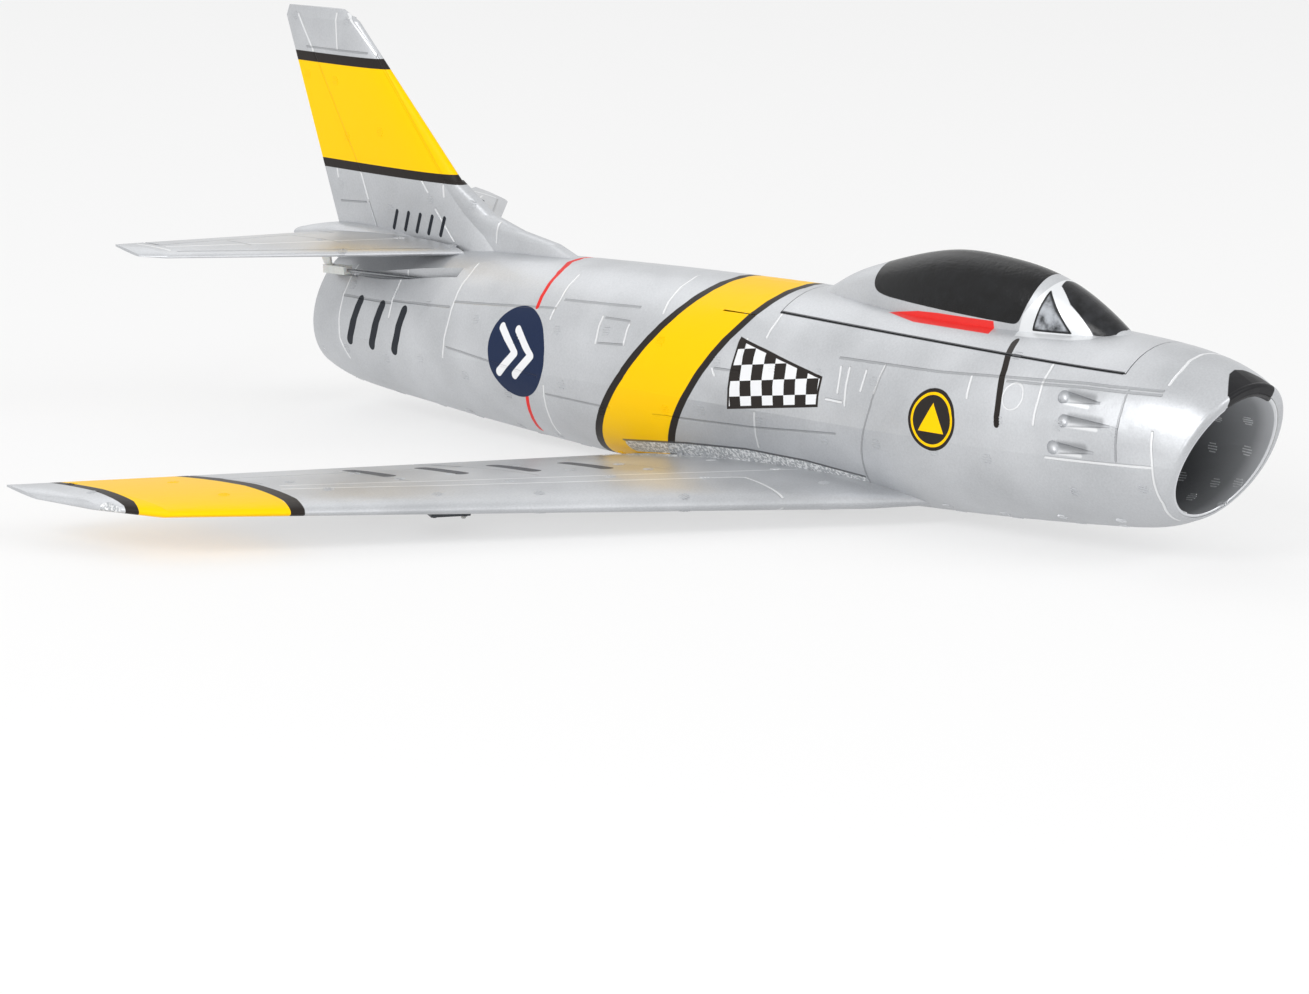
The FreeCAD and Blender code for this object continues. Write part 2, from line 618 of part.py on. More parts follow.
def fin_part(name, rows, thick):
    """Sections stacked upwards: (height, leading edge, trailing edge, thickness factor)."""
    body = new_body(name)
    outlines = []
    for number, (height, le, te, share) in enumerate(rows):
        made = sketch(body, f"{name}_{number}", "XY_Plane", spot(("0", "0", up(height))))
        lens(made, le, te, f"0.68*{share}*{thick}")
        outlines.append(made)
    loft(body, f"{name}_loft", outlines, ruled=True)
    return body


def blade_rotor():
    """A cup hub with bowed, twisted blades repeated round it."""
    body = new_body("rotor_form")
    profile = sketch(body, "rotor_profile", "YZ_Plane", spot(("-nose_reach", up("thrust_line"), "0")))
    face, inner = "rotor_front + 2*hub_wall", "hub_radius - hub_wall"
    polygon(profile, [("rotor_front", "shaft_radius"), ("rotor_front", "hub_radius"),
                      ("rotor_back", "hub_radius"), ("rotor_back", inner), (face, inner),
                      (face, "boss_radius"), ("rotor_back - hub_wall", "boss_radius"),
                      ("rotor_back - hub_wall", "shaft_radius")])
    hub = body.newObject("PartDesign::Revolution", "rotor_hub")
    hub.Profile = profile
    hub.ReferenceAxis = (profile, ["H_Axis"])
    hub.Angle = 360
    middle = aft("(rotor_front + rotor_back)/2")
    outlines = []
    for word, radius in (("root", "hub_radius - 0.6"), ("mid", "(hub_radius + fan_bore)/2"),
                         ("tip", "fan_bore + 0.2")):
        made = sketch(body, f"blade_{word}", "XY_Plane",
                      f"placement(vector(0;{middle};{up('thrust_line')} + {radius}); "
                      f"rotation(vector(0;0;1);blade_{word}_pitch))")
        front = [("0", "-blade_chord/2"), ("blade_bow", "-blade_chord/4"),
                 ("blade_bow", "blade_chord/4"), ("0", "blade_chord/2")]
        rear = [front[3], ("blade_back_bow", "blade_chord/4"), ("blade_back_bow", "-blade_chord/4"),
                front[0]]
        loop(made, [front, rear])
        outlines.append(made)
    blade = loft(body, "blade_loft", outlines)
    pattern = body.newObject("PartDesign::PolarPattern", "blade_pattern")
    pattern.Originals = [blade]
    pattern.Axis = (profile, ["H_Axis"])
    pattern.Angle = 360
    pattern.setExpression("Occurrences", S("blade_count"))
    body.Tip = pattern
    doc.recompute()
    return body


def trough(name, prefix, sign):
    """A tapered groove with a round back end, to be cut from the skin."""
    back, tip = [(f"({sign}{prefix}_{end}_x)", aft(f"{prefix}_{end}_at"), up(f"{prefix}_{end}_z"))
                 for end in ("back", "tip")]
    run = [f"({there} - {here})" for here, there in zip(back, tip)]
    long = f"sqrt({run[0]}^2 + {run[1]}^2 + {run[2]}^2)"
    ball = doc.addObject("Part::Sphere", f"{name}_end")
    ball.setExpression("Radius", S("trough_radius"))
    ball.setExpression("Placement", S(spot(back)))
    taper = doc.addObject("Part::Cone", f"{name}_taper")
    taper.setExpression("Radius1", S("trough_radius * trough_waist"))
    taper.setExpression("Radius2", S("trough_tip"))
    taper.setExpression("Height", S(long))
    yaw = spot(back, f"rotation(vector(0;0;1);atan2({run[1]}; {run[0]}))")
    tilt = spot(("0", "0", "0"), f"rotation(vector(0;1;0);acos({run[2]}/{long}))")
    taper.setExpression("Placement", S(f"{yaw}*{tilt}"))
    return [ball, taper]


skin = fuselage_skin()
canopy_form = oval_loft("canopy_form", CANOPY, low="20")
fairing_form = oval_loft("fairing_form", FAIRING)
wing = wing_form()
tail = tail_form()
far_wing = mirrored("far_wing_form", wing)
far_tail = mirrored("far_tail_form", tail)

# ---------------------------------------------------------------- fan
node("fan_rotor", common("fan_rotor", blade_rotor(),
                         bar_in(THRUST, "rotor_sweep", "fan_bore - fan_tip_gap", "60",
                                ("0", "230", "0"), "y")))
node("fan_spinner", turned("fan_spinner", [
    [("spinner_tip", "0"), ("spinner_tip", "0.62*hub_radius"),
     ("spinner_tip + 0.5*(rotor_front - spinner_tip)", "hub_radius"), ("rotor_front", "hub_radius")],
    [("rotor_front", "hub_radius"), ("rotor_front", "0")],
    [("rotor_front", "0"), ("spinner_tip", "0")]]))
node("fan_shaft", bar_in(THRUST, "fan_shaft", "shaft_radius", "shaft_deep - rotor_front",
                         ("0", "rotor_front", "0"), "y"))
bore = "shaft_radius + running_fit"
node("fan_motor", ring("fan_motor", [
    ("motor_front", bore), ("motor_front", "motor_radius - 1"), ("motor_front + 1", "motor_radius"),
    ("motor_back - motor_nose", "motor_radius"), ("motor_back", "motor_radius - motor_nose"),
    ("motor_back", "0"), ("shaft_deep + 0.5", "0"), ("shaft_deep + 0.5", bore)]))
rim = "fan_bore + fan_wall"
fan_end = "fan_at + fan_long"
shroud = ring("fan_shroud", [("fan_at", "fan_bore"), ("fan_at", "fan_bore + fan_lip"),
                             ("fan_at + fan_lip_long", "fan_bore + fan_lip"),
                             ("fan_at + fan_lip_long", rim), (fan_end, rim), (fan_end, "fan_bore")])
tube = ring("fan_tube", [("tube_front", "motor_radius"), ("tube_front", "motor_radius + tube_wall"),
                         ("tube_back", "motor_radius + tube_wall"), ("tube_back", "motor_radius")])
fan_bits = [shroud, tube]
for step in range(5):
    turn = f"{THRUST}*{spot(('0', '0', '0'), f'rotation(vector(0;1;0);{72 * step + 36})')}"
    fan_bits.append(box_in(turn, f"vane_{step}", ("-vane_thick/2", "vane_thick/2"),
                           ("vane_front", "vane_back"), ("motor_radius + 0.4", "fan_bore + 0.5")))
for side, limits in (("left", ("fan_bore + 0.5", "ear_reach")),
                     ("right", ("-ear_reach", "-fan_bore - 0.5"))):
    fan_bits.append(box_in(THRUST, f"ear_{side}", limits, ("ear_front", "ear_back"),
                           ("-ear_half", "ear_half")))
node("fan_housing", fuse("fan_housing", fan_bits))

# ---------------------------------------------------------------- passages
duct_outer = duct_form("duct_outer", "duct_wall")
duct_inner = duct_form("duct_inner", "0")
node("intake_duct", cut("intake_duct", duct_outer, duct_inner, mouth_flare()))
duct_space = duct_form("duct_space", "(duct_wall + foam_fit)")
mouth_space = mouth_form("mouth_space", "(duct_wall + foam_fit)", "9")
pipe_start = fan_end
node("tailpipe", ring("tailpipe", [
    (pipe_start, "fan_bore"), (pipe_start, "fan_bore + pipe_wall"),
    ("pipe_end", "pipe_end_radius + pipe_wall"), ("pipe_end", "pipe_end_radius")]))
wide = "pipe_wall + foam_fit"
pipe_space = ring("pipe_space", [
    (pipe_start, "0"), (pipe_start, f"fan_bore + {wide}"), ("pipe_end", f"pipe_end_radius + {wide}"),
    ("pipe_end + 20", f"pipe_end_radius + {wide}"), ("pipe_end + 20", "0")])
fan_space = ring("fan_space", [
    ("fan_at", "0"), ("fan_at", "fan_bore + fan_lip + foam_fit"),
    ("fan_at + fan_lip_long + foam_fit", "fan_bore + fan_lip + foam_fit"),
    ("fan_at + fan_lip_long + foam_fit", f"{rim} + foam_fit"), (fan_end, f"{rim} + foam_fit"),
    (fan_end, "0")])
ear_space = box_in(THRUST, "ear_space", ("-ear_reach - foam_fit", "ear_reach + foam_fit"),
                   ("ear_front - foam_fit", "ear_back + foam_fit"),
                   ("-ear_half - foam_fit", "ear_half + foam_fit"))

# ---------------------------------------------------------------- wings and ailerons
aileron_space = control_region("aileron_space", AILERON_ENDS, True)
aileron_block = control_region("aileron_block", AILERON_ENDS, False)
spar_hole = cylinder("spar_hole", "spar_radius + running_fit", "2*spar_half + 2*running_fit",
                     ("-spar_half - running_fit", aft("spar_at"), up("spar_height")), "x")
servo_pocket = box_in(LINK, "wing_servo_pocket",
                      ("wing_servo_in - foam_fit", "wing_servo_out + foam_fit"),
                      ("-wing_servo_front - foam_fit", "-wing_servo_back + foam_fit"),
                      ("-12", "wing_servo_high + foam_fit"))
arm_slot = box_in(LINK, "wing_arm_slot", ("-link_side - 0.8", "wing_servo_in"),
                  ("-aileron_link - 5.2", "-aileron_link + 5.2"), ("-14", "wing_servo_shaft + 2.7"))
horn_notch = box_in(LINK, "horn_notch", ("-1.2", "1.2"), ("-4", "0"), ("-9", "-2.6"))
wing_left = node("wing_left", cut("wing_left", wing, aileron_space, spar_hole, servo_pocket,
                                  arm_slot, horn_notch))
aileron_left = node("aileron_left", common("aileron_left", wing, aileron_block))
node("wing_spar", cylinder("wing_spar", "spar_radius", "2*spar_half",
                           ("-spar_half", aft("spar_at"), up("spar_height")), "x"))

# aileron drive: servo, arm, link and horn hang under the wing as an even parallelogram
servo_case = box_in(LINK, "wing_servo_case", ("wing_servo_in", "wing_servo_out"),
                    ("-wing_servo_front", "-wing_servo_back"), ("wing_servo_low", "wing_servo_high"))
servo_bore = bar_in(LINK, "wing_servo_bore", "stub_radius + running_fit", "stub_deep",
                    ("wing_servo_in", "-aileron_link", "wing_servo_shaft"), "x")
wing_servo = cut("aileron_servo_left", servo_case, servo_bore)
arm_pin_z = "(wing_servo_shaft - aileron_arm)"
arm_bits = [bar_in(LINK, "wing_arm_hub", "arm_eye", "2*arm_half", ("-arm_half", "-aileron_link",
                                                                  "wing_servo_shaft"), "x"),
            bar_in(LINK, "wing_arm_eye", "horn_eye", "2*arm_half", ("-arm_half", "-aileron_link",
                                                                   arm_pin_z), "x"),
            box_in(LINK, "wing_arm_bar", ("-arm_half", "arm_half"),
                   ("-aileron_link - 1.5", "-aileron_link + 1.5"), (arm_pin_z, "wing_servo_shaft")),
            bar_in(LINK, "wing_arm_stub", "stub_radius", "stub_deep",
                   ("0", "-aileron_link", "wing_servo_shaft"), "x")]
open_hole = "pin_radius + pin_play"
arm_hole = bar_in(LINK, "wing_arm_hole", open_hole, "4", ("-2", "-aileron_link", arm_pin_z), "x")
wing_arm = cut("aileron_arm_left", fuse("wing_arm_form", arm_bits), arm_hole)
horn_plate = plate("wing_horn_plate", LINK,
                   [("-1.3", "-aileron_arm"), ("1.3", "-aileron_arm - 1.2"), ("8.5", "-3.5"),
                    ("8.5", "-1.6"), ("2.2", "-1.6")], "-arm_half", "arm_half")
horn_eye = bar_in(LINK, "wing_horn_eye", "horn_eye", "2*arm_half",
                  ("-arm_half", "0", "-aileron_arm"), "x")
horn_hole = bar_in(LINK, "wing_horn_hole", open_hole, "4", ("-2", "0", "-aileron_arm"), "x")
wing_horn = cut("aileron_horn_left", fuse("wing_horn_form", [horn_plate, horn_eye]), horn_hole,
                aileron_left)
link_pitch = "atan(-wing_servo_shaft/aileron_link)"
LINK_ROD = f"{LINK}*placement(vector(0;0;-aileron_arm); rotation(vector(1;0;0);{link_pitch}))"
rod_run = f"(aileron_link/cos({link_pitch}))"
link_bits = [bar_in(LINK_ROD, "link_wire", "link_radius", f"{rod_run} + 2*link_over",
                    ("-link_side", f"-{rod_run} - link_over", "0"), "y"),
             bar_in(LINK_ROD, "link_pin_back", "pin_radius", "link_side + arm_half + 0.8",
                    ("-link_side", "0", "0"), "x"),
             bar_in(LINK_ROD, "link_pin_front", "pin_radius", "link_side + arm_half + 0.2",
                    ("-link_side", f"-{rod_run}", "0"), "x")]
wing_link = fuse("aileron_link_left", link_bits)
for left in (wing_left, aileron_left, wing_servo, wing_arm, wing_horn, wing_link):
    node(left.Name, left)
    far_name = left.Name.replace("left", "right")
    node(far_name, mirrored(far_name, left))

# ---------------------------------------------------------------- tail
elevator_space = control_region("elevator_space", ELEVATOR_ENDS, True)
elevator_block = control_region("elevator_block", ELEVATOR_ENDS, False)
stabilizer_left = node("stabilizer_left", cut("stabilizer_left", tail, elevator_space))
elevator_left = node("elevator_left", common("elevator_left", tail, elevator_block))
node("stabilizer_right", mirrored("stabilizer_right", stabilizer_left))
elevator_right = node("elevator_right", mirrored("elevator_right", elevator_left))
fin_rows = [(f"fin_{word}_z", f"fin_{word}_le", f"fin_{word}_te", f"(fin_{word}_thick/fin_root_thick)")
            for word in ("root", "tip", "cap")]
dorsal_rows = [(f"dorsal_{letter}_z", f"dorsal_{letter}_le", "dorsal_te", "1") for letter in "abcde"]
bar_slot = box("bar_slot", ("-12", "12"), (aft("435.6"), aft("440.2")), (up("28.6"), up("32")))
fin_blade = fuse("fin_blade", [fin_part("fin_form", fin_rows, "fin_root_thick"),
                               fin_part("dorsal_form", dorsal_rows, "dorsal_thick")])
fin = node("fin", cut("fin", fin_blade, bar_slot))

# elevator drive
horn_x = ("-horn_x - horn_half", "-horn_x + horn_half")
tail_horn = plate("tail_horn_plate", spot(("0", "0", "0")),
                  [(aft(f"({PIN_AT} - 1.4)"), up(PIN_Z)), (aft(f"({PIN_AT} + 1.2)"), up(f"{PIN_Z} - 1")),
                   (aft("444.3"), up("31")), (aft("444.3"), up("33")), (aft("437.4"), up("33"))],
                  *horn_x)
tail_eye = cylinder("tail_horn_eye", "horn_eye", "2*horn_half",
                    (horn_x[0], aft(PIN_AT), up(PIN_Z)), "x")
tail_hole = cylinder("tail_horn_hole", "pin_radius + tail_pin_play", "4",
                     ("-horn_x - 2", aft(PIN_AT), up(PIN_Z)), "x")
bar_hole = cylinder("horn_bar_hole", "bar_radius + bar_play", "4",
                    ("-horn_x - 2", aft("bar_at"), up("bar_z")), "x")
node("elevator_horn", cut("elevator_horn", fuse("tail_horn_form", [tail_horn, tail_eye]), tail_hole,
                          bar_hole, elevator_right))
tabs = [box(f"joiner_tab_{side}", limits, (aft("bar_at"), aft("tab_back")), (up("bar_z"), up("tab_top")))
        for side, limits in (("left", ("tab_in", "bar_reach")), ("right", ("-bar_reach", "-tab_in")))]
joiner_bar = cylinder("joiner_bar", "bar_radius", "2*bar_reach",
                      ("-bar_reach", aft("bar_at"), up("bar_z")), "x")
node("elevator_joiner", fuse("elevator_joiner", [joiner_bar] + tabs))

rod_long = f"(sqrt({ROD_RUN}^2 + {ROD_DROP}^2 + (rod_x - horn_x)^2))"
rod_bits = [bar_in(ROD, "rod_wire", "rod_radius", f"{rod_long} - clevis_long + 1",
                   ("0", f"-{rod_long}", "0"), "y"),
            cylinder("rod_pin", "pin_radius", "rod_x - tail_arm_in + 0.1",
                     ("-rod_x", aft("tail_shaft_at"), up("tail_shaft_z + tail_arm")), "x")]
node("elevator_pushrod", fuse("elevator_pushrod", rod_bits))
clevis_out = "(clevis_gap + clevis_cheek)"
clevis_block = box_in(ROD, "clevis_block", (f"-{clevis_out}", clevis_out),
                      ("-clevis_long", "clevis_tall"), ("-clevis_tall", "clevis_tall"))
clevis_fork = box_in(ROD, "clevis_fork", ("-clevis_gap", "clevis_gap"),
                     ("-clevis_long + 3", "5"), ("-5", "5"))
clevis_bore = bar_in(ROD, "clevis_bore", "rod_radius", "6", ("0", "-clevis_long - 5", "0"), "y")
clevis_pin = bar_in(ROD, "clevis_pin", "pin_radius", f"2*{clevis_out}", (f"-{clevis_out}", "0", "0"), "x")
node("elevator_clevis", fuse("elevator_clevis",
                             [cut("clevis_form", clevis_block, clevis_fork, clevis_bore), clevis_pin]))
sleeve_tube = bar_in(ROD, "sleeve_tube", "sleeve_radius", "sleeve_back - sleeve_front",
                     ("0", f"sleeve_front - {PIN_AT}", "0"), "y")
sleeve_hole = bar_in(ROD, "sleeve_hole", "sleeve_bore", "sleeve_back - sleeve_front + 2",
                     ("0", f"sleeve_front - {PIN_AT} - 1", "0"), "y")
node("pushrod_sleeve", cut("pushrod_sleeve", sleeve_tube, sleeve_hole))
tunnel = bar_in(ROD, "rod_tunnel", "slot_half", f"{PIN_AT} - 214", ("0", f"214 - {PIN_AT}", "0"), "y")
clevis_space = box_in(ROD, "clevis_space", ("-3", "3"), ("-clevis_long - 5", "8"), ("-2.3", "14"))
rod_slot = box_in(ROD, "rod_slot", ("-slot_half", "slot_half"),
                  (f"slot_front - {PIN_AT}", "8"), ("0", "14"))

shaft_spot = (aft("tail_shaft_at"), up("tail_shaft_z"))
tail_case = box("tail_servo_case", ("-tail_servo_out", "-tail_servo_in"),
                (aft("tail_servo_front"), aft("tail_servo_back")),
                (up("tail_shaft_z - tail_servo_half"), up("tail_shaft_z + tail_servo_half")))
tail_bore = cylinder("tail_servo_bore", "stub_radius + running_fit", "stub_deep",
                     ("-tail_servo_out", *shaft_spot), "x")
node("elevator_servo", cut("elevator_servo", tail_case, tail_bore))
thick = "tail_arm_out - tail_arm_in"
tail_arm_bits = [cylinder("tail_arm_hub", "arm_eye", thick, ("-tail_arm_out", *shaft_spot), "x"),
                 cylinder("tail_arm_end", "arm_eye", thick,
                          ("-tail_arm_out", shaft_spot[0], up("tail_shaft_z + tail_arm")), "x"),
                 box("tail_arm_bar", ("-tail_arm_out", "-tail_arm_in"),
                     (aft("tail_shaft_at - 1.6"), aft("tail_shaft_at + 1.6")),
                     (up("tail_shaft_z"), up("tail_shaft_z + tail_arm"))),
                 cylinder("tail_arm_stub", "stub_radius", "tail_arm_in - tail_servo_out + 2.8",
                          ("-tail_arm_in - 0.3", *shaft_spot), "x")]
tail_arm_hole = cylinder("tail_arm_hole", "pin_radius + tail_arm_play", "6",
                         ("-tail_arm_out - 2", shaft_spot[0], up("tail_shaft_z + tail_arm")), "x")
node("elevator_servo_arm", cut("elevator_servo_arm", fuse("tail_arm_form", tail_arm_bits), tail_arm_hole))
servo_bay = box("tail_servo_bay", ("-tail_servo_out - foam_fit", "0"),
                (aft("tail_servo_front - foam_fit"), aft("tail_servo_back + foam_fit")),
                (up("tail_shaft_z - tail_servo_half - foam_fit"),
                 up("tail_shaft_z + tail_servo_half + foam_fit")))
arm_bay = box("tail_arm_bay", ("-arm_bay_out", "-tail_servo_out"),
              (aft("tail_shaft_at - 8"), aft("tail_shaft_at + 8")),
              (up("tail_shaft_z - 3.2"), up("tail_shaft_z + tail_arm + 2.3")))

# ---------------------------------------------------------------- bays, hatch and magnets
bay = box("battery_bay", ("-bay_half", "bay_half"), (aft("bay_front"), aft("bay_back")),
          (up("bay_floor"), up("50")))
nose_bay = box("nose_bay", ("-nose_bay_half", "nose_bay_half"),
               (aft("nose_bay_front"), aft("nose_bay_back")),
               (up("nose_bay_floor"), up("50")))
wire_gap = box("wire_gap", ("-wire_gap_half", "wire_gap_half"),
               (aft("nose_bay_back - 1"), aft("bay_front + 1")),
               (up("wire_gap_floor"), up("50")))
hatch_space = hatch_block("hatch_space", "hatch_gap")
hatch_region = hatch_block("hatch_region", "0")
hollow = box("canopy_hollow", ("-hollow_half", "hollow_half"), (aft("hollow_front"), aft("hollow_back")),
             (up("20"), up("hollow_top")))
deck_pockets = []
hatch_pockets = []
for word in ("front", "back"):
    at = f"{word}_magnet_at"
    over, under = f"({sill(at)} + magnet_sink)", f"({sill(at)} - hatch_gap - magnet_sink - magnet_thick)"
    node(f"hatch_magnet_{word}", cylinder(f"hatch_magnet_{word}", "magnet_radius", "magnet_thick",
                                          ("0", aft(at), up(over)), "z"))
    node(f"deck_magnet_{word}", cylinder(f"deck_magnet_{word}", "magnet_radius", "magnet_thick",
                                         ("0", aft(at), up(under)), "z"))
    hatch_pockets.append(cylinder(f"hatch_pocket_{word}", "magnet_radius + running_fit", "magnet_thick + 2",
                                  ("0", aft(at), up(f"({over} - 2)")), "z"))
    deck_pockets.append(cylinder(f"deck_pocket_{word}", "magnet_radius + running_fit", "magnet_thick + 2",
                                 ("0", aft(at), up(under)), "z"))
node("canopy_hatch", cut("canopy_hatch", common("hatch_form", fuse("hatch_top", [skin, canopy_form]),
                                                hatch_region), hollow, *hatch_pockets))

node("battery_pad", box("battery_pad", ("-battery_wide/2", "battery_wide/2"),
                        (aft("battery_at"), aft("battery_at + battery_long")),
                        (up("bay_floor"), up("bay_floor + pad_thick"))))
node("battery", box("battery", ("-battery_wide/2", "battery_wide/2"),
                    (aft("battery_at"), aft("battery_at + battery_long")),
                    (up("bay_floor + pad_thick"), up("bay_floor + pad_thick + battery_tall"))))
node("speed_controller", box("speed_controller", ("-speed_wide/2", "speed_wide/2"),
                             (aft("speed_at"), aft("speed_at + speed_long")),
                             (up("bay_floor"), up("bay_floor + speed_thick"))))
board_bits = [box("board", ("-board_wide/2", "board_wide/2"),
                  (aft("nose_bay_front + 1.5"), aft("nose_bay_front + 1.5 + board_long")),
                  (up("nose_bay_floor"), up("nose_bay_floor + board_thick")))]
for name, x, start in (("chip_a", "-7", "3.5"), ("chip_b", "1", "3.5"), ("chip_c", "-3", "13")):
    near = f"nose_bay_front + {start}"
    board_bits.append(box(name, (x, f"{x} + chip_size"), (aft(f"({near})"), aft(f"({near} + chip_size)")),
                          (up("nose_bay_floor"), up("nose_bay_floor + board_thick + chip_thick"))))
node("control_board", fuse("control_board", board_bits))

# ---------------------------------------------------------------- fuselage halves
whole = cut("fuselage_form", fuse("fuselage_skin", [skin, fairing_form]),
            hatch_space, duct_space, mouth_space, fan_space, ear_space, pipe_space, bay, nose_bay,
            wire_gap, servo_bay, arm_bay, tunnel, rod_slot, clevis_space, wing, far_wing, spar_hole,
            tail, far_tail, fin, bar_slot, *deck_pockets)
for side, sign, limits in (("left", "", ("0", "60")), ("right", "-", ("-60", "0"))):
    half_space = box(f"{side}_space", limits, (aft("-10"), aft("490")), ("-5", "120"))
    half = common(f"{side}_half", whole, half_space)
    for prefix in TROUGHS:
        half = cut(f"{prefix}_{side}_cut", half, *trough(f"{prefix}_{side}", prefix, sign))
    node(f"fuselage_{side}", half)

# ---------------------------------------------------------------- check and write
doc.recompute()
for thing in doc.Objects:
    if "Invalid" in thing.State or "Error" in thing.State:
        raise RuntimeError(f"{thing.Label} failed to build")
os.makedirs("parts", exist_ok=True)
for name, shape in nodes.items():
    if shape.Shape.isNull() or not shape.Shape.isValid() or not shape.Shape.Solids:
        raise RuntimeError(f"{name} has no sound shape")
    shape.Shape.exportStep(f"parts/{name}.step")
print(f"{len(nodes)} parts written")
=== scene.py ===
"""Looks for the micro ducted-fan jet plane: lacquered foam, painted bands, fittings and studio.

Distances on the plane are written as a maker measures them, in millimetres: out from the
middle, aft of the nose tip, and up from the datum line through the intake.
"""
import json
import math

import bmesh
import bpy
from bpy.props import FloatProperty, FloatVectorProperty, PointerProperty
from mathutils import Matrix, Vector


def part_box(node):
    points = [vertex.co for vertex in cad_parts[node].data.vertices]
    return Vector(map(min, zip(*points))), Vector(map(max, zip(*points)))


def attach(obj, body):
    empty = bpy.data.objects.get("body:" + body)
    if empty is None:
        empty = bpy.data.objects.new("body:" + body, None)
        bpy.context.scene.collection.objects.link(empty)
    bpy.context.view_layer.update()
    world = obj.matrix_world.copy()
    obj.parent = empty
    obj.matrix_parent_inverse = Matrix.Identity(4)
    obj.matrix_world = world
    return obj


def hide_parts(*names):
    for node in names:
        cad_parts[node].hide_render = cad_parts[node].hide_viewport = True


bl_info = {
    "name": "Foam jet plane",
    "version": (1, 0, 0),
    "blender": (4, 5, 0),
    "location": "3D View > Sidebar > Jet",
    "description": "Paints a foam ducted-fan jet, adds its small fittings and lights it",
    "category": "Object",
}

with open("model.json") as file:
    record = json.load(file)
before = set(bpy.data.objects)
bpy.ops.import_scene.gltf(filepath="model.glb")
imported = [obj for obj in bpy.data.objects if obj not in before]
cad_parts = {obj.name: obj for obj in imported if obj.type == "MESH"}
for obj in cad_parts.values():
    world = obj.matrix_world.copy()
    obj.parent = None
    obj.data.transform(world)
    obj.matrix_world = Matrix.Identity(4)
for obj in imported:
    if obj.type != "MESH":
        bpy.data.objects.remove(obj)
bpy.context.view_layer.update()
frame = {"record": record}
BODY_OF = {node: body for body, nodes in frame["record"]["behaviour"]["bodies"].items()
           for node in nodes}
NOSE_REACH = 237.5
DATUM = 33.5


# ---------------------------------------------------------------- helpers
def linear(code):
    """An sRGB hex colour as linear RGBA."""
    parts = [int(code[n:n + 2], 16) / 255 for n in (1, 3, 5)]
    return (*(p / 12.92 if p <= 0.04045 else ((p + 0.055) / 1.055) ** 2.4 for p in parts), 1)


def feed(tree, node, inputs):
    """Link a node's input sockets, or set them to a plain value or an sRGB hex colour."""
    for key, given in inputs.items():
        if isinstance(given, bpy.types.NodeSocket):
            tree.links.new(given, node.inputs[key])
        else:
            node.inputs[key].default_value = linear(given) if isinstance(given, str) else given


def add(tree, kind, inputs=None, **settings):
    """Add a node, set its properties, and link or set its sockets."""
    node = tree.nodes.new(kind)
    for name, setting in settings.items():
        setattr(node, name, setting)
    feed(tree, node, inputs or {})
    return node


def maths(tree, operation, *values):
    """The result of one step of arithmetic on numbers."""
    return add(tree, "ShaderNodeMath", dict(enumerate(values)), operation=operation).outputs[0]


def vectors(tree, operation, *values):
    """The result of one step of arithmetic on vectors, a number where that is what it gives."""
    sockets = (0, 3) if operation == "SCALE" else (0, 1, 2)
    node = add(tree, "ShaderNodeVectorMath", dict(zip(sockets, values)), operation=operation)
    return node.outputs["Value" if operation in ("DOT_PRODUCT", "DISTANCE", "LENGTH") else 0]


def blended(tree, share, first, second):
    """Two colours, mixed by a share."""
    return add(tree, "ShaderNodeMix", {0: share, 6: first, 7: second}, data_type="RGBA").outputs[2]


def ranged(tree, amount, *span):
    """An amount moved from one range to another and held at its ends."""
    return add(tree, "ShaderNodeMapRange", dict(enumerate((amount, *span)))).outputs[0]


def parts_of(tree, vector):
    """A vector's three parts."""
    return add(tree, "ShaderNodeSeparateXYZ", {0: vector}).outputs


def point_of(tree, *parts):
    """A vector from its parts."""
    return add(tree, "ShaderNodeCombineXYZ", dict(enumerate(parts))).outputs[0]


def relief(tree, height):
    """The surface's lie under a relief of a height in metres."""
    return add(tree, "ShaderNodeBump", {"Height": height, "Distance": 1.0}).outputs[0]


def noise(tree, place, width, detail):
    """Cloudy noise, its widest blobs of a width in millimetres."""
    return add(tree, "ShaderNodeTexNoise", {"Vector": place, "Scale": 1 / width,
                                            "Detail": detail}).outputs[0]


def spot(out, aft, up):
    """A point in metres from a maker's millimetres."""
    return Vector((out / 1000, (aft - NOSE_REACH) / 1000, (up + DATUM) / 1000))


def new_group(name, kind, result, result_kind, **inputs):
    """A node group with named inputs and one output: (its tree, its inputs' sockets)."""
    tree = bpy.data.node_groups.new(name, kind)
    for key, socket in inputs.items():
        tree.interface.new_socket(key.replace("_", " "), in_out="INPUT",
                                  socket_type="NodeSocket" + socket)
    tree.interface.new_socket(result, in_out="OUTPUT", socket_type="NodeSocket" + result_kind)
    return tree, add(tree, "NodeGroupInput").outputs


def new_material(name, **shader_inputs):
    """A material with one Principled shader: (material, its tree, the shader)."""
    material = bpy.data.materials.new(name)
    material.use_nodes = True
    tree = material.node_tree
    tree.nodes.clear()
    shader = add(tree, "ShaderNodeBsdfPrincipled",
                 {key.replace("_", " "): given for key, given in shader_inputs.items()})
    add(tree, "ShaderNodeOutputMaterial", {"Surface": shader.outputs[0]})
    return material, tree, shader


def both(name):
    """The left and the right node of a pair."""
    return name + "_left", name + "_right"


def dress(material, *names):
    """Give CAD nodes or pieces one material."""
    for name in names:
        mesh = bpy.data.objects[name].data
        mesh.materials.clear()
        mesh.materials.append(material)


def shape_object(name, shape, material=None):
    """Turn a bmesh into an object at the origin, its faces outwards."""
    bmesh.ops.remove_doubles(shape, verts=shape.verts, dist=1e-6)
    bmesh.ops.recalc_face_normals(shape, faces=shape.faces)
    mesh = bpy.data.meshes.new(name)
    shape.to_mesh(mesh)
    shape.free()
    if material:
        mesh.materials.append(material)
    made = bpy.data.objects.new(name, mesh)
    bpy.context.scene.collection.objects.link(made)
    return made


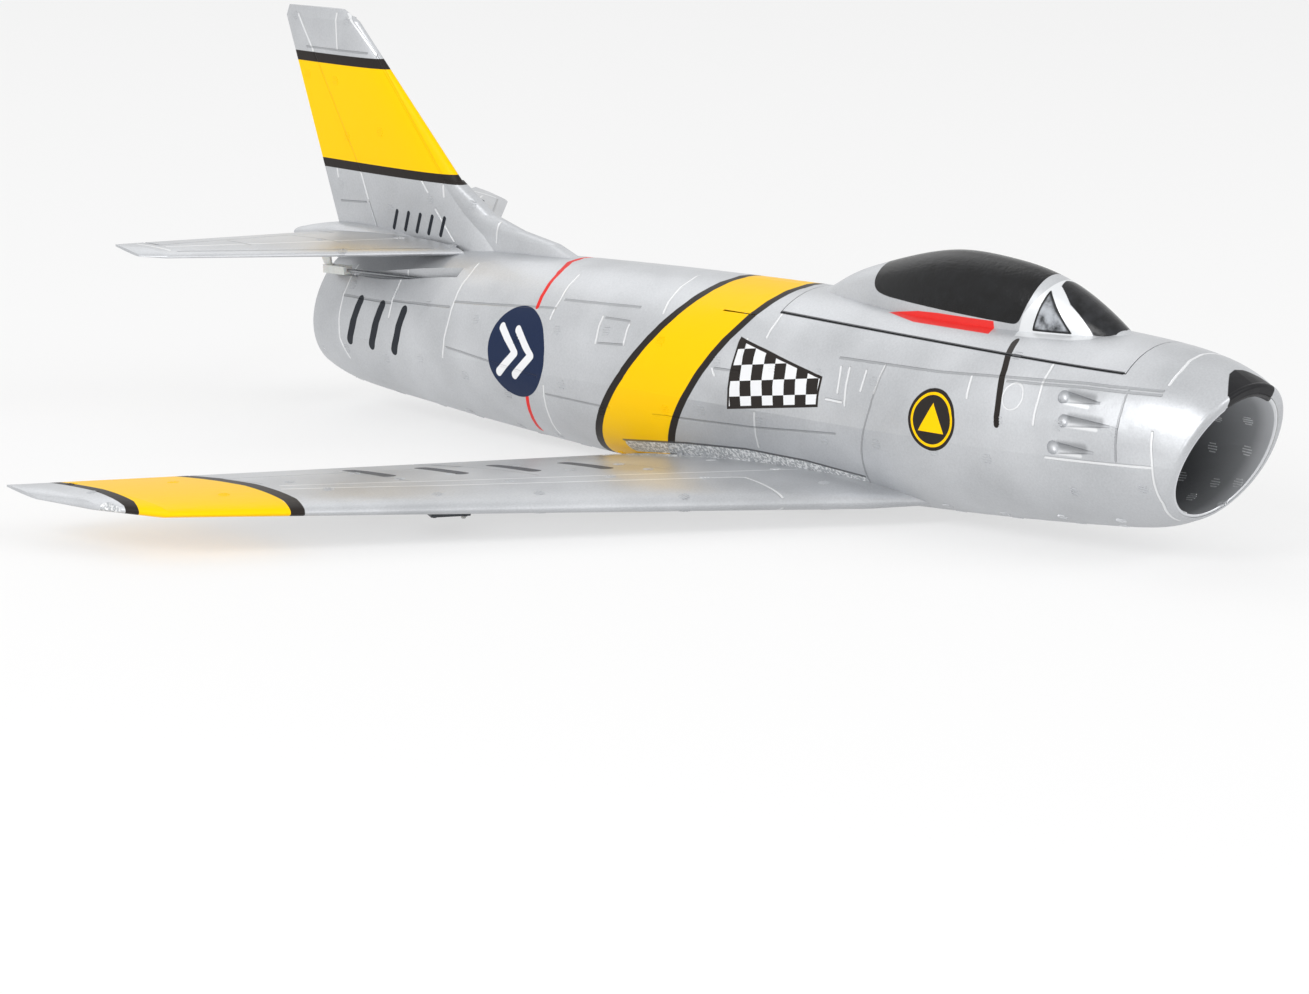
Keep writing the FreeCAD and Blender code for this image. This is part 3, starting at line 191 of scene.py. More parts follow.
def block(shape, low, high, taper=0.0):
    """Add a box between two corners in millimetres, its top drawn in by a taper."""
    (x0, y0, z0), (x1, y1, z1) = low, high
    rings = [[shape.verts.new(Vector(corner) / 1000) for corner in
              ((x0 + t, y0 + t, z), (x1 - t, y0 + t, z), (x1 - t, y1 - t, z), (x0 + t, y1 - t, z))]
             for z, t in ((z0, 0.0), (z1, taper))]
    shape.faces.new(rings[0][::-1])
    shape.faces.new(rings[1])
    for n in range(4):
        shape.faces.new((rings[0][n], rings[0][n - 3], rings[1][n - 3], rings[1][n]))


def soften(piece, width):
    """Round a piece's edges over a width in millimetres."""
    rounded = piece.modifiers.new("edges", "BEVEL")
    rounded.width = width / 1000
    rounded.segments = 3
    rounded.limit_method = "ANGLE"
    for face in piece.data.polygons:
        face.use_smooth = True


# ---------------------------------------------------------------- stamps laid on a skin
def stamps_tree():
    """Node tree that lays a stamp where each ray of a lattice meets a skin."""
    if "stamps_on_skin" in bpy.data.node_groups:
        return bpy.data.node_groups["stamps_on_skin"]
    tree, given = new_group(
        "stamps_on_skin", "GeometryNodeTree", "Geometry", "Geometry", Skin="Object",
        Stamp="Object", Finish="Material", Middle="Vector", Across="Vector", Along="Vector",
        Cast="Vector", Count_across="Int", Count_along="Int", Scatter="Float", Facing="Float",
        Seed="Int")
    tree.is_modifier = True
    spans = [maths(tree, "SUBTRACT", given[name], 1.0)
             for name in ("Count across", "Count along")]
    grid = add(tree, "GeometryNodeMeshGrid", {0: spans[0], 1: spans[1],
                                              2: given["Count across"], 3: given["Count along"]})
    # each ray's start strays a little, as a mould's vents do
    stray = add(tree, "FunctionNodeRandomValue", {0: (-1, -1, 0), 1: (1, 1, 0),
                                                  "Seed": given["Seed"]},
                data_type="FLOAT_VECTOR").outputs[0]
    here = add(tree, "GeometryNodeInputPosition").outputs[0]
    loose = vectors(tree, "MULTIPLY_ADD", stray, given["Scatter"], here)
    step = parts_of(tree, loose)
    start = vectors(tree, "ADD", *(vectors(tree, "SCALE", given[way], part)
                                   for way, part in zip(("Across", "Along"), step)))
    start = vectors(tree, "ADD", start, given["Middle"])
    spread = add(tree, "GeometryNodeSetPosition", {0: grid.outputs[0], "Position": start})
    points = add(tree, "GeometryNodeMeshToPoints", {0: spread.outputs[0]})
    skin = add(tree, "GeometryNodeObjectInfo", {"Object": given["Skin"]})
    ray = add(tree, "GeometryNodeRaycast", {"Target Geometry": skin.outputs["Geometry"],
                                            "Ray Direction": given["Cast"], "Ray Length": 1.0})
    turned = vectors(tree, "DOT_PRODUCT", ray.outputs["Hit Normal"], given["Cast"])
    square = maths(tree, "LESS_THAN", maths(tree, "ADD", turned, given["Facing"]), 0.0)
    kept = maths(tree, "MULTIPLY", square, ray.outputs["Is Hit"])
    lost = maths(tree, "LESS_THAN", kept, 0.5)
    left = add(tree, "GeometryNodeDeleteGeometry", {0: points.outputs[0], "Selection": lost},
               domain="POINT")
    capture = add(tree, "GeometryNodeCaptureAttribute", {0: left.outputs[0]})
    capture.capture_items.new("VECTOR", "Lie")
    tree.links.new(ray.outputs["Hit Normal"], capture.inputs["Lie"])
    laid = add(tree, "GeometryNodeSetPosition", {0: capture.outputs[0],
                                                 "Position": ray.outputs["Hit Position"]})
    turn = add(tree, "FunctionNodeAlignRotationToVector", {"Vector": capture.outputs["Lie"]},
               axis="Z").outputs[0]
    stamp = add(tree, "GeometryNodeObjectInfo", {"Object": given["Stamp"]})
    placed = add(tree, "GeometryNodeInstanceOnPoints", {0: laid.outputs[0],
                                                        "Instance": stamp.outputs["Geometry"],
                                                        "Rotation": turn})
    real = add(tree, "GeometryNodeRealizeInstances", {0: placed.outputs[0]})
    finished = add(tree, "GeometryNodeSetMaterial", {0: real.outputs[0],
                                                     "Material": given["Finish"]})
    add(tree, "NodeGroupOutput", {0: finished.outputs[0]})
    return tree


def stamp_on(name, skin, stamp, middle, across, along, cast, counts, scatter=0.0, facing=0.9,
             seed=3, finish=None, body=None):
    """Lay stamps on a node's skin in a lattice, as one plain piece on the node's body."""
    piece = bpy.data.objects.new(name, bpy.data.meshes.new(name))
    bpy.context.scene.collection.objects.link(piece)
    modifier = piece.modifiers.new("stamps", "NODES")
    modifier.node_group = stamps_tree()
    under = bpy.data.objects[skin]
    settings = {"Skin": under, "Stamp": stamp, "Finish": finish or under.data.materials[0],
                "Middle": middle, "Across": across, "Along": along, "Cast": cast,
                "Count across": counts[0], "Count along": counts[1], "Scatter": scatter,
                "Facing": facing, "Seed": seed}
    for socket in modifier.node_group.interface.items_tree:
        if socket.in_out == "INPUT":
            modifier[socket.identifier] = settings[socket.name]
    ready = piece.evaluated_get(bpy.context.evaluated_depsgraph_get())
    mesh = bpy.data.meshes.new_from_object(ready)
    if not mesh.polygons:
        raise RuntimeError(f"{name}: no ray met {skin}")
    piece.modifiers.clear()
    piece.data = mesh
    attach(piece, body or BODY_OF[skin])
    return piece


# ---------------------------------------------------------------- masks in paint
def maker_place(tree):
    """Where a point is, as (to the left, aft, up) in millimetres."""
    where = add(tree, "ShaderNodeTexCoord").outputs["Object"]
    return vectors(tree, "MULTIPLY_ADD", where, (1000, 1000, 1000), (0, NOSE_REACH, -DATUM))


def plane_point(tree, place, plane):
    """The point in the side plane (aft, up) or the plan plane (out, aft)."""
    axes = parts_of(tree, place)
    if plane == "side":
        return point_of(tree, axes[1], axes[2])
    out = maths(tree, "ABSOLUTE", axes[0])
    return point_of(tree, out, axes[1])


def stroke_group():
    """A node group: 1 within a half width of the run between two points, 0 outside."""
    if "stroke" in bpy.data.node_groups:
        return bpy.data.node_groups["stroke"]
    tree, given = new_group("stroke", "ShaderNodeTree", "Mask", "Float", Point="Vector",
                            From="Vector", To="Vector", Half_width="Float", Softness="Float")
    reach = vectors(tree, "SUBTRACT", given["Point"], given["From"])
    run = vectors(tree, "SUBTRACT", given["To"], given["From"])
    along = vectors(tree, "DOT_PRODUCT", reach, run)
    long = vectors(tree, "DOT_PRODUCT", run, run)
    share = maths(tree, "MAXIMUM", maths(tree, "DIVIDE", along, long), 0.0)
    share = maths(tree, "MINIMUM", share, 1.0)
    away = vectors(tree, "DISTANCE", reach, vectors(tree, "SCALE", run, share))
    outer = maths(tree, "ADD", given["Half width"], given["Softness"])
    mask = step_mask(tree, away, given["Half width"], outer, 1.0, 0.0)
    add(tree, "NodeGroupOutput", {"Mask": mask})
    return tree


def joined(tree, masks, operation="MAXIMUM", blend=0.0):
    """Join masks by their maximum or another operation, each as soon as it is made."""
    whole = None
    for mask in masks:
        whole = mask if whole is None else maths(tree, operation, whole, mask, blend)
    return whole


def step_mask(tree, amount, *span):
    """0 before the start, 1 past the end, smooth between; start may be past end."""
    return add(tree, "ShaderNodeMapRange", dict(enumerate((amount, *span))),
               interpolation_type="SMOOTHSTEP", clamp=False).outputs[0]


def line_mask(tree, point, path, half, soft=0.15):
    """A painted or pressed line along a path of pairs."""
    return joined(tree, (stroke(tree, point, *ends, half, soft) for ends in zip(path, path[1:])))


def stroke(tree, point, here, there, half, soft):
    """One run of a line."""
    return add(tree, "ShaderNodeGroup", {"Point": point, "From": (*here, 0), "To": (*there, 0),
                                         "Half width": half, "Softness": soft},
               node_tree=stroke_group()).outputs[0]


def depth_inside(tree, point, corners, rounding=0.0):
    """How far inside a convex outline a point is, in millimetres; corners run anticlockwise."""
    def side(here, there):
        run = (Vector(there) - Vector(here)).normalized()
        inward = (-run.y, run.x, 0)
        across = vectors(tree, "DOT_PRODUCT", point, inward)
        return maths(tree, "SUBTRACT", across, inward[0] * here[0] + inward[1] * here[1])
    sides = (side(*ends) for ends in zip(corners, corners[1:] + corners[:1]))
    return joined(tree, sides, "SMOOTH_MIN" if rounding else "MINIMUM", rounding)


def counter(corners):
    """The outline, run anticlockwise."""
    turn = sum(a[0] * b[1] - b[0] * a[1] for a, b in zip(corners, corners[1:] + corners[:1]))
    return corners if turn > 0 else corners[::-1]


def region_mask(tree, point, corners, inset=0.0, soft=0.2, rounding=0.0):
    """1 inside a convex outline, less an inset."""
    deep = depth_inside(tree, point, counter(corners), rounding)
    return step_mask(tree, deep, inset - soft / 2, inset + soft / 2)


def cap_mask(tree, place, outline, lowest):
    """1 on the cap over the mouth: inside an outline in plan, above a height."""
    inside = region_mask(tree, plane_point(tree, place, "plan"), outline, 0.0, 0.3)
    above = maths(tree, "GREATER_THAN", parts_of(tree, place)[2], lowest)
    return joined(tree, (inside, above), "MULTIPLY")


# ---------------------------------------------------------------- lacquered foam
class Coat:
    """A coat of lacquer on moulded bead foam, built up mark by mark in one material."""

    def __init__(self, name, plane, gloss=0.12):
        paint = bpy.context.scene.jet_paint
        # expanded bead foam, pressed in a mould and sprayed with silver lacquer: a soft
        # metallic sheen that clouds over a few centimetres, over faintly cellular skin
        self.material, self.tree, self.shader = new_material(name, IOR=1.45,
                                                               Specular_IOR_Level=gloss)
        tree = self.tree
        self.place = maker_place(tree)
        self.point = plane_point(tree, self.place, plane)
        cloud = noise(tree, self.place, 28, 2.0)
        fleck = noise(tree, self.place, 0.7, 1.0)
        share = ranged(tree, maths(tree, "MULTIPLY_ADD", fleck, 0.45, cloud), 0.45, 1.0)
        self.colour = blended(tree, share, self.pigment("silver_shade"), self.pigment("silver"))
        # flakes under clear lacquer: less of a mirror than plated metal
        self.metal = 0.62
        self.rough = ranged(tree, cloud, 0.3, 0.7, 0.36, 0.44)
        # pressed beads show as shallow cells, the pores between them as fine grain
        beads = add(tree, "ShaderNodeTexVoronoi", {"Vector": self.place,
                                                   "Scale": 1 / paint.bead_size},
                    feature="SMOOTH_F1").outputs["Distance"]
        self.grain = noise(tree, self.place, 0.9, 2.0)
        self.height = maths(tree, "MULTIPLY_ADD", self.grain, 0.03,
                            maths(tree, "MULTIPLY", beads, -0.05))
        # once set, a mask of the outer skin that keeps later marks on it
        self.skin = None

    def bare_inside(self, deck=None):
        """Leave the foam unpainted where it faces the middle or down, or on a deck."""
        tree = self.tree
        lie = add(tree, "ShaderNodeTexCoord").outputs["Normal"]
        side = parts_of(tree, self.place)
        outward = (maths(tree, "SIGN", side[0]), 0.0, 0.0) if deck else (0.0, 0.0, 1.0)
        facing = vectors(tree, "DOT_PRODUCT", lie, point_of(tree, *outward))
        skin = step_mask(tree, facing, -0.6, -0.5)
        if deck:
            low, high, start, end, half = deck
            within = (maths(tree, "COMPARE", socket, (a + b) / 2, (b - a) / 2)
                      for socket, a, b in zip(side, (-half, start, low), (half, end, high)))
            clear = maths(tree, "SUBTRACT", 1.0, joined(tree, within, "MULTIPLY"))
            skin = joined(tree, (skin, clear), "MULTIPLY")
        # bare bead foam: a dull white-grey, with no metal in it
        self.paint(maths(tree, "SUBTRACT", 1.0, skin), "#c3c4c3", 0.75)
        self.skin = skin

    def pigment(self, colour):
        """A colour, looked up where it is the name of a setting."""
        named = isinstance(colour, str) and not colour.startswith("#")
        return (*getattr(bpy.context.scene.jet_paint, colour), 1) if named else colour

    def line(self, path, half, soft=0.15):
        return line_mask(self.tree, self.point, path, half, soft)

    def disc(self, centre, radius, soft=0.2):
        away = vectors(self.tree, "DISTANCE", self.point, (*centre, 0))
        return step_mask(self.tree, away, radius + soft, radius)

    def region(self, corners, inset=0.0, soft=0.2, rounding=0.0):
        return region_mask(self.tree, self.point, corners, inset, soft, rounding)

    def paint(self, mask, colour, rough=0.42, metal=0.0, cover=1.0):
        """Lay a colour over what is there, where the mask is 1."""
        tree = self.tree
        if self.skin:
            mask = joined(tree, (mask, self.skin), "MULTIPLY")
        if cover < 1.0:
            mask = maths(tree, "MULTIPLY", mask, cover)
        self.colour = blended(tree, mask, self.colour, self.pigment(colour))
        self.metal, self.rough = (
            add(tree, "ShaderNodeMix", {0: mask, 2: old, 3: new}, data_type="FLOAT").outputs[0]
            for old, new in ((self.metal, metal), (self.rough, rough)))

    def tint(self, mask, colour, cover):
        """Change the colour alone, by a share of the mask."""
        if self.skin:
            mask = joined(self.tree, (mask, self.skin), "MULTIPLY")
        share = maths(self.tree, "MULTIPLY", mask, cover)
        self.colour = blended(self.tree, share, self.colour, self.pigment(colour))

    def lower(self, mask, depth):
        """Press the surface in by a depth in millimetres, or raise it if negative."""
        self.height = maths(self.tree, "MULTIPLY_ADD", mask, -depth, self.height)

    def grooves(self, bright, dark):
        """Panel lines, pressed in: the bright ones carry a painted highlight along an edge, the
        dark ones painted shade.
        """
        depth = bpy.context.scene.jet_paint.groove_depth
        for paths, colour, cover, half in ((bright, "#f4f5f6", 0.65, 0.32),
                                           (dark, "#77797c", 0.42, 0.22)):
            mask = joined(self.tree, (self.line(path, half, 0.25) for path in paths))
            self.tint(mask, colour, cover)
            self.lower(mask, depth)

    def hatch_seam_shade(self):
        """Painted shade along the gap between hatch and fuselage, which both of them show."""
        self.tint(self.line(HATCH_SEAM, 0.3, 0.2), "#3c3d40", 0.9)

    def torn(self, mask):
        """Trimmed foam with no lacquer to smooth it: bright, speckled and rough."""
        tree = self.tree
        crumb = step_mask(tree, noise(tree, self.place, 1.1, 3.0), 0.42, 0.6)
        speckle = blended(tree, crumb, "#b2b5b8", "#eff0f1")
        self.paint(mask, speckle, 0.6, 0.2, cover=0.9)
        self.lower(joined(tree, (crumb, mask), "MULTIPLY"), 0.26)

    def close(self):
        """Join colour, metal, roughness and relief to the shader."""
        height = maths(self.tree, "MULTIPLY", self.height, 0.001)
        feed(self.tree, self.shader, {"Base Color": self.colour, "Roughness": self.rough,
                                      "Metallic": self.metal,
                                      "Normal": relief(self.tree, height)})
        return self.material


# plain slanted bars on fin and tail
BAR_GREY = "#26292f"
# fuselage marks, as (aft, up)
BAND = (220.4, 259.9)
BAND_LEAN = (0.7, 0.8)
BAND_BORDER = 3.0
SKIN_BRIGHT = [
    [(21.2, 33.6), (20.3, 32.0), (19.9, 30.2), (19.8, 28.4), (20, 26.8)],
    [(19.8, 12.8), (19.3, 1.9), (20, -11), (22.9, -18.5)],
    [(64.7, 28.5), (65.1, 24.1), (64.3, 10.6)],
    [(58.5, 0.9), (19.3, 1.7)],
    [(188.9, 31.6), (189.2, 24.0)], [(197.5, 22.5), (196.5, 12.2)],
    [(187.8, -0.7), (188.9, -12.8)], [(209.8, 11.8), (208.1, 9.7)],
    [(245.2, 35.9), (242.9, 26)], [(297.8, 32), (296.8, 24.8), (297.2, 18.4)],
    [(296.5, -4.9), (299, -16.7), (302.3, -25.1)],
    [(270.8, 22), (270.1, 13.4)], [(256.1, 21), (255.5, 14.6)],
    [(353.7, 30), (353.2, 14), (355, -2)], [(391.7, 24), (391, 8)],
    [(425, 22), (424.4, 8), (423, -4), (419, -11)],
    [(94.3, 22), (93.6, 15.6)],
    # louvres behind the cockpit
    [(150.9, 18.9), (149.7, 10.9)], [(147, 19), (145.8, 7.1)], [(139.4, 18.9), (139.6, 12.6)],
    [(132.1, 21.4), (133.7, 12.5)], [(154.5, 8.1), (147.4, 7.9)],
]
SKIN_DARK = [
    [(153, 21.5), (108, 22), (79.5, 23.5), (50.3, 24.7), (20.7, 25)],
    [(79.5, 22.3), (50.3, 23.5), (20.7, 23.8)],
    [(32.4, 24.6), (32.4, 15.9), (31.9, 2.6)],
    [(208.7, 12), (196.5, 12.2)], [(269.4, 21.8), (256.8, 22)], [(268.9, 13.5), (256, 14.4)],
    [(294.4, 25), (255, 26.6)], [(353.2, 18), (297, 22)], [(391, 14), (355, 16)],
    [(132, 21), (134.5, 8), (139, -8), (142, -23)], [(239, -8), (190, -6), (150, -3)],
    [(296, -8), (262, -8.5)], [(424, 12), (392, 13)], [(353, 2), (300, -2)],
]
ROOT_STRIP = [(260, -23.3), (241.7, -21.1), (226.2, -19.3), (196, -17.2), (167.7, -17.5),
              (144, -19.6)]
ROOT_SEAM = [(262, -20.9), (241.7, -18.6), (226.2, -16.9), (196, -14.8), (167.7, -15.1),
             (142, -17.4)]
# the deck under the hatch: lowest and highest, start and end, half its width
HATCH_DECK = (10.0, 32.4, 37.2, 189.6, 18.8)
# a pressed ring below the windscreen
RING_MARK = (75, 18.1)
# gun troughs: the round back end and the tip of each
TROUGHS = (((53, 20.3), (44, 19.8)), ((50.5, 13.5), (39, 13.3)), ((53.4, 4.6), (44, 4.5)))
HATCH_SEAM = [(37.5, 28.6), (94, 29.7), (190, 31.5)]
# the dark stripe below the canopy arch, and a thin red ring ahead of the tail, in two parts
ARCH_STRIPE = [(84.6, 30), (82.6, 25.2), (80.3, 17), (79.3, 9)]
RED_RING = ([(311.8, 34.7), (308.4, 31.7), (306.6, 21.5)],
            [(307.5, -10.3), (310.6, -18.5), (313.9, -25.1)])
PENNANT = [(158, 5), (158, 15), (201, 23), (201, -1)]
BADGE = (107, 7)
BADGE_TRIANGLE = [(101.5, 3), (112.5, 3), (107, 12.5)]
RADAR_CAP = [(-1, -9), (11, -9), (11, 2.2), (7.4, 4.8), (3.7, 7.6), (0, 8.4), (-1, 8.4)]


def band_masks(coat):
    """The leaning yellow band: (its whole width, the yellow between its borders)."""
    tree = coat.tree
    aft_up = parts_of(tree, coat.point)
    depths = []
    for start, lean, sign in zip(BAND, BAND_LEAN, (1, -1)):
        edge = maths(tree, "MULTIPLY_ADD", aft_up[1], lean, aft_up[0])
        past = maths(tree, "SUBTRACT", edge, start)
        depths.append(maths(tree, "MULTIPLY", past, sign / math.hypot(1, lean)))
    deep = joined(tree, depths, "MINIMUM")
    return [step_mask(tree, deep, inset - 0.1, inset + 0.1) for inset in (0.0, BAND_BORDER)]


class JET_OT_fuselage(bpy.types.Operator):
    """Lacquer the two fuselage halves, with band, marks and panel lines"""
    bl_idname = "jet.fuselage"
    bl_label = "Paint fuselage"

    def execute(self, context):
        yellow, black, white = "band_yellow", "border_black", "#e9eaec"
        coat = Coat("lacquered_foam_fuselage", "side")
        coat.bare_inside(HATCH_DECK)
        tree = coat.tree
        coat.grooves(SKIN_BRIGHT, SKIN_DARK)
        coat.lower(coat.disc(RING_MARK, 4.2), 0.12)
        coat.lower(coat.disc(RING_MARK, 3.7), -0.12)
        # the pressed ring carries a painted highlight
        ring = joined(tree, (coat.disc(RING_MARK, 4.2), coat.disc(RING_MARK, 3.6)), "SUBTRACT")
        coat.tint(ring, "#eeeff0", 0.55)
        # each trough has painted shade under its upper edge and a painted highlight on its lower
        # one
        for trough in TROUGHS:
            for back, lift, half, soft, colour, cover in ((0, 0.7, 0.7, 1.7, "#5d5f62", 0.5),
                                                          (0.8, -1.7, 0.2, 0.7, "#f4f5f6", 0.6)):
                path = [(aft + back, up + lift) for aft, up in trough]
                coat.tint(coat.line(path, half, soft), colour, cover)
        whole, inner = band_masks(coat)
        coat.paint(whole, black)
        coat.paint(inner, yellow, 0.4)
        coat.paint(coat.line(ARCH_STRIPE, 1.1), black)
        for path in RED_RING:
            coat.paint(coat.line(path, 0.8), "stripe_red")
        # a plain disc with two chevrons
        coat.paint(coat.disc((312, 5), 16), "disc_navy", 0.36)
        for shift in (-4.5, 4.5):
            coat.paint(coat.line([(317 + shift, 13), (308 + shift, 5), (317 + shift, -3)], 1.5),
                       white)
        # a chequered pennant
        coat.paint(coat.region(PENNANT), black)
        turned = {0: coat.point, "Angle": math.radians(8)}
        lean = add(tree, "ShaderNodeVectorRotate", turned).outputs[0]
        cheque = add(tree, "ShaderNodeTexChecker", {0: lean, "Scale": 1 / 5.2,
                                                    "Color1": (0, 0, 0, 1),
                                                    "Color2": (1, 1, 1, 1)}).outputs[1]
        inside = coat.region(PENNANT, inset=1.0)
        coat.paint(joined(tree, (cheque, inside), "MULTIPLY"), white)
        # a round badge with a plain triangle
        for radius, colour in ((10, black), (8.8, yellow), (7.9, black)):
            coat.paint(coat.disc(BADGE, radius), colour, 0.34)
        coat.paint(coat.region(BADGE_TRIANGLE), yellow, 0.36)
        # plain slanted bars beside the tail
        for start in (382, 397, 412):
            coat.paint(coat.line([(start + 4, -3.4), (start, 11.4)], 1.9), BAR_GREY)
        # trimmed foam where the wing is let in, with painted shade along its seam
        coat.torn(coat.line(ROOT_STRIP, 2.1, 0.4))
        coat.tint(coat.line(ROOT_SEAM, 0.3, 0.2), "#4b4d50", 0.8)
        coat.hatch_seam_shade()
        # the dark radar cap on the upper lip
        coat.paint(cap_mask(tree, coat.place, RADAR_CAP, 10.0), "#242426", 0.34)
        dress(coat.close(), *both("fuselage"))
        return {"FINISHED"}


# hatch marks, as (aft, up); the windscreen is in plan, as (out, aft)
CANOPY_BLACK = [(88.6, 37.0), (112, 37.7), (153.5, 40.3), (156.3, 41.8), (157.8, 45.0),
                (157.4, 49.2), (150, 64), (82, 64), (83, 52.6), (86.6, 41)]
QUARTER_WINDOW = [(83.2, 36), (79.7, 49.2), (67.9, 36.2)]
WINDSCREEN = [(-3, 53), (0, 53), (3.8, 54.2), (6.2, 56.9), (7.4, 60.8), (7.3, 64), (6.6, 71.2),
              (3.6, 77.6), (0, 78.6), (-3, 78.6)]
WINDOW_FRAME = [(55, 37.5), (60, 35.5), (67, 34.8), (88, 34.2), (90, 37), (87, 41), (83.6, 53.5),
                (80, 58), (70, 58)]
# black stops at this height above the datum
LOWEST_GLASS = 35.6
RED_FLASH = [(146, 35.3), (133, 37.2), (124, 37.6), (99, 37.6), (98.6, 33.8), (132.3, 34.0)]


class JET_OT_hatch(bpy.types.Operator):
    """Lacquer the canopy hatch: silver frames, black canopy and windows"""
    bl_idname = "jet.hatch"
    bl_label = "Paint canopy hatch"

    def execute(self, context):
        coat = Coat("lacquered_foam_hatch", "side", 0.32)
        coat.bare_inside()
        tree = coat.tree
        coat.paint(coat.region(WINDOW_FRAME, 0.0, 0.4), "#e6e8ea", 0.3, 0.35, cover=0.85)
        coat.paint(coat.region(RED_FLASH), "stripe_red", 0.4)
        coat.paint(coat.line([(85.5, 32.6), (84.6, 30), (84, 27)], 1.1), "border_black")
        coat.hatch_seam_shade()
        high = maths(tree, "GREATER_THAN", parts_of(tree, coat.place)[2], LOWEST_GLASS)
        plan = plane_point(tree, coat.place, "plan")
        canopy = coat.region(CANOPY_BLACK, 0.0, 0.2, 4.0)
        # the gloss black is mottled in blots; the light grey over the quarter window and the
        # lighter grey of the windscreen are painted reflections
        mottle = step_mask(tree, noise(tree, coat.place, 4, 3.0), 0.3, 0.72)
        for mask, light, dark, rough in (
                (canopy, "#131416", "#0b0b0c", 0.26),
                (coat.region(QUARTER_WINDOW, 0.0, 0.2, 1.0), "#1b1c1e", "#121314", 0.3),
                (coat.region(QUARTER_WINDOW, 0.7, 0.6, 1.0), "#b0b4ba", "#2e3033", 0.24),
                (region_mask(tree, plan, WINDSCREEN), "#2b2c2f", "#151617", 0.22)):
            shown = joined(tree, (mask, high), "MULTIPLY")
            gloss = blended(tree, mottle, dark, light)
            coat.lower(shown, 0.25)
            coat.paint(shown, gloss, rough)
        # gloss black over the beads shows their grain more than silver does
        coat.lower(joined(tree, (canopy, coat.grain), "MULTIPLY"), 0.16)
        dress(coat.close(), "canopy_hatch")
        return {"FINISHED"}


# panel lines on the tail: on the fin as (aft, up), on the tailplane as (out, aft)
FIN_BRIGHT = [[(467.1, 113.4), (458.4, 99.4)], [(432.4, 55.9), (428.3, 45.4)],
              [(443.5, 115), (443.3, 101.7)], [(395.4, 56), (392, 52.1)],
              [(383.6, 55.3), (383.1, 51.2)], [(437.8, 115.2), (421.6, 100.6)],
              [(447.6, 56), (447.2, 52.7)], [(353.6, 44), (355.2, 36.6)],
              [(387.7, 46), (377.6, 35.2)]]
FIN_DARK = [[(446.2, 43.5), (429.9, 44.5)], [(458.4, 99.4), (432.4, 55.9)],
            [(428.3, 45.4), (424, 36)], [(421.6, 100.6), (383, 57)], [(463, 101.2), (426, 101.2)]]
TAIL_BRIGHT = [[(9, 399), (78, 455)], [(80.5, 450), (82.5, 467)]]
TAIL_DARK = [[(12, 380), (79, 447)], [(30, 412), (30, 440)], [(55, 434), (55, 448)]]


class JET_OT_tail(bpy.types.Operator):
    """Lacquer the fin, the tailplane and its elevators"""
    bl_idname = "jet.tail"
    bl_label = "Paint tail"

    def execute(self, context):
        fin = Coat("lacquered_foam_fin", "side")
        fin.grooves(FIN_BRIGHT, FIN_DARK)
        for low, high, colour in ((55.9, 99.4, "border_black"), (59.3, 95.7, "band_yellow")):
            fin.paint(fin.region([(340, low), (480, low), (480, high), (340, high)]), colour, 0.4)
        for start in (384, 391, 398, 405, 412):
            fin.paint(fin.line([(start + 1.2, 36.6), (start - 1.2, 43)], 0.8), BAR_GREY)
        dress(fin.close(), "fin")
        tail = Coat("lacquered_foam_tailplane", "plan")
        tail.grooves(TAIL_BRIGHT, TAIL_DARK)
        dress(tail.close(), *both("stabilizer"), *both("elevator"))
        return {"FINISHED"}


WING_BRIGHT = [[(170.3, 277.5), (143, 257.2), (126.5, 243.8), (79.3, 208.8), (31.6, 172.8)],
               [(173.6, 272.4), (148, 251.5), (131.7, 237.8), (56.1, 178.7), (53.4, 175.4),
                (57.3, 153.9)]]
WING_DARK = [[(98, 229), (98, 284)], [(172, 285), (173, 318)], [(60, 205), (60, 262)],
             [(135, 252), (135, 292)]]
TIP_OUTER = [(223.5, 286), (220, 295), (216.8, 316), (215.6, 340), (215.4, 350)]
TIP_INNER = [(186.5, 247), (183.3, 252.3), (180.6, 259.5), (176, 286), (174.6, 316), (174.5, 336)]
# the yellow between them, in two convex parts ahead of and behind its knee
TIP_AHEAD = [(176, 286), (186.5, 247), (230, 247), (220, 295), (216.8, 316)]
TIP_BEHIND = [(176, 284), (174.6, 316), (174.5, 350), (215.4, 350), (216.8, 316), (219, 284)]


class JET_OT_wings(bpy.types.Operator):
    """Lacquer the wings and ailerons, with their tip bands"""
    bl_idname = "jet.wings"
    bl_label = "Paint wings"

    def execute(self, context):
        coat = Coat("lacquered_foam_wing", "plan")
        coat.grooves(WING_BRIGHT, WING_DARK)
        for part in (TIP_AHEAD, TIP_BEHIND):
            coat.paint(coat.region(part, soft=0.3), "band_yellow", 0.4)
        for path, half in ((TIP_OUTER, 1.7), (TIP_INNER, 2.2)):
            coat.paint(coat.line(path, half), "border_black")
        # plain slanted bars, each starting on a line along the swept spar
        for start in (72, 92, 112, 132):
            front = start * 0.72 + 172
            coat.paint(coat.line([(start, front), (start - 3, front + 24)], 2.6), "#55575b")
        # foam scuffed at the tip, and trimmed along the root
        coat.torn(coat.line([(225.6, 293), (225.2, 301)], 2.0, 0.8))
        coat.torn(coat.line([(25, 165), (25, 222), (28, 245), (31, 264)], 4.6, 0.6))
        dress(coat.close(), *both("wing"), *both("aileron"))
        return {"FINISHED"}


# how far out from the middle the rays that lay vents on the skin start, in millimetres
START_FAR = 90


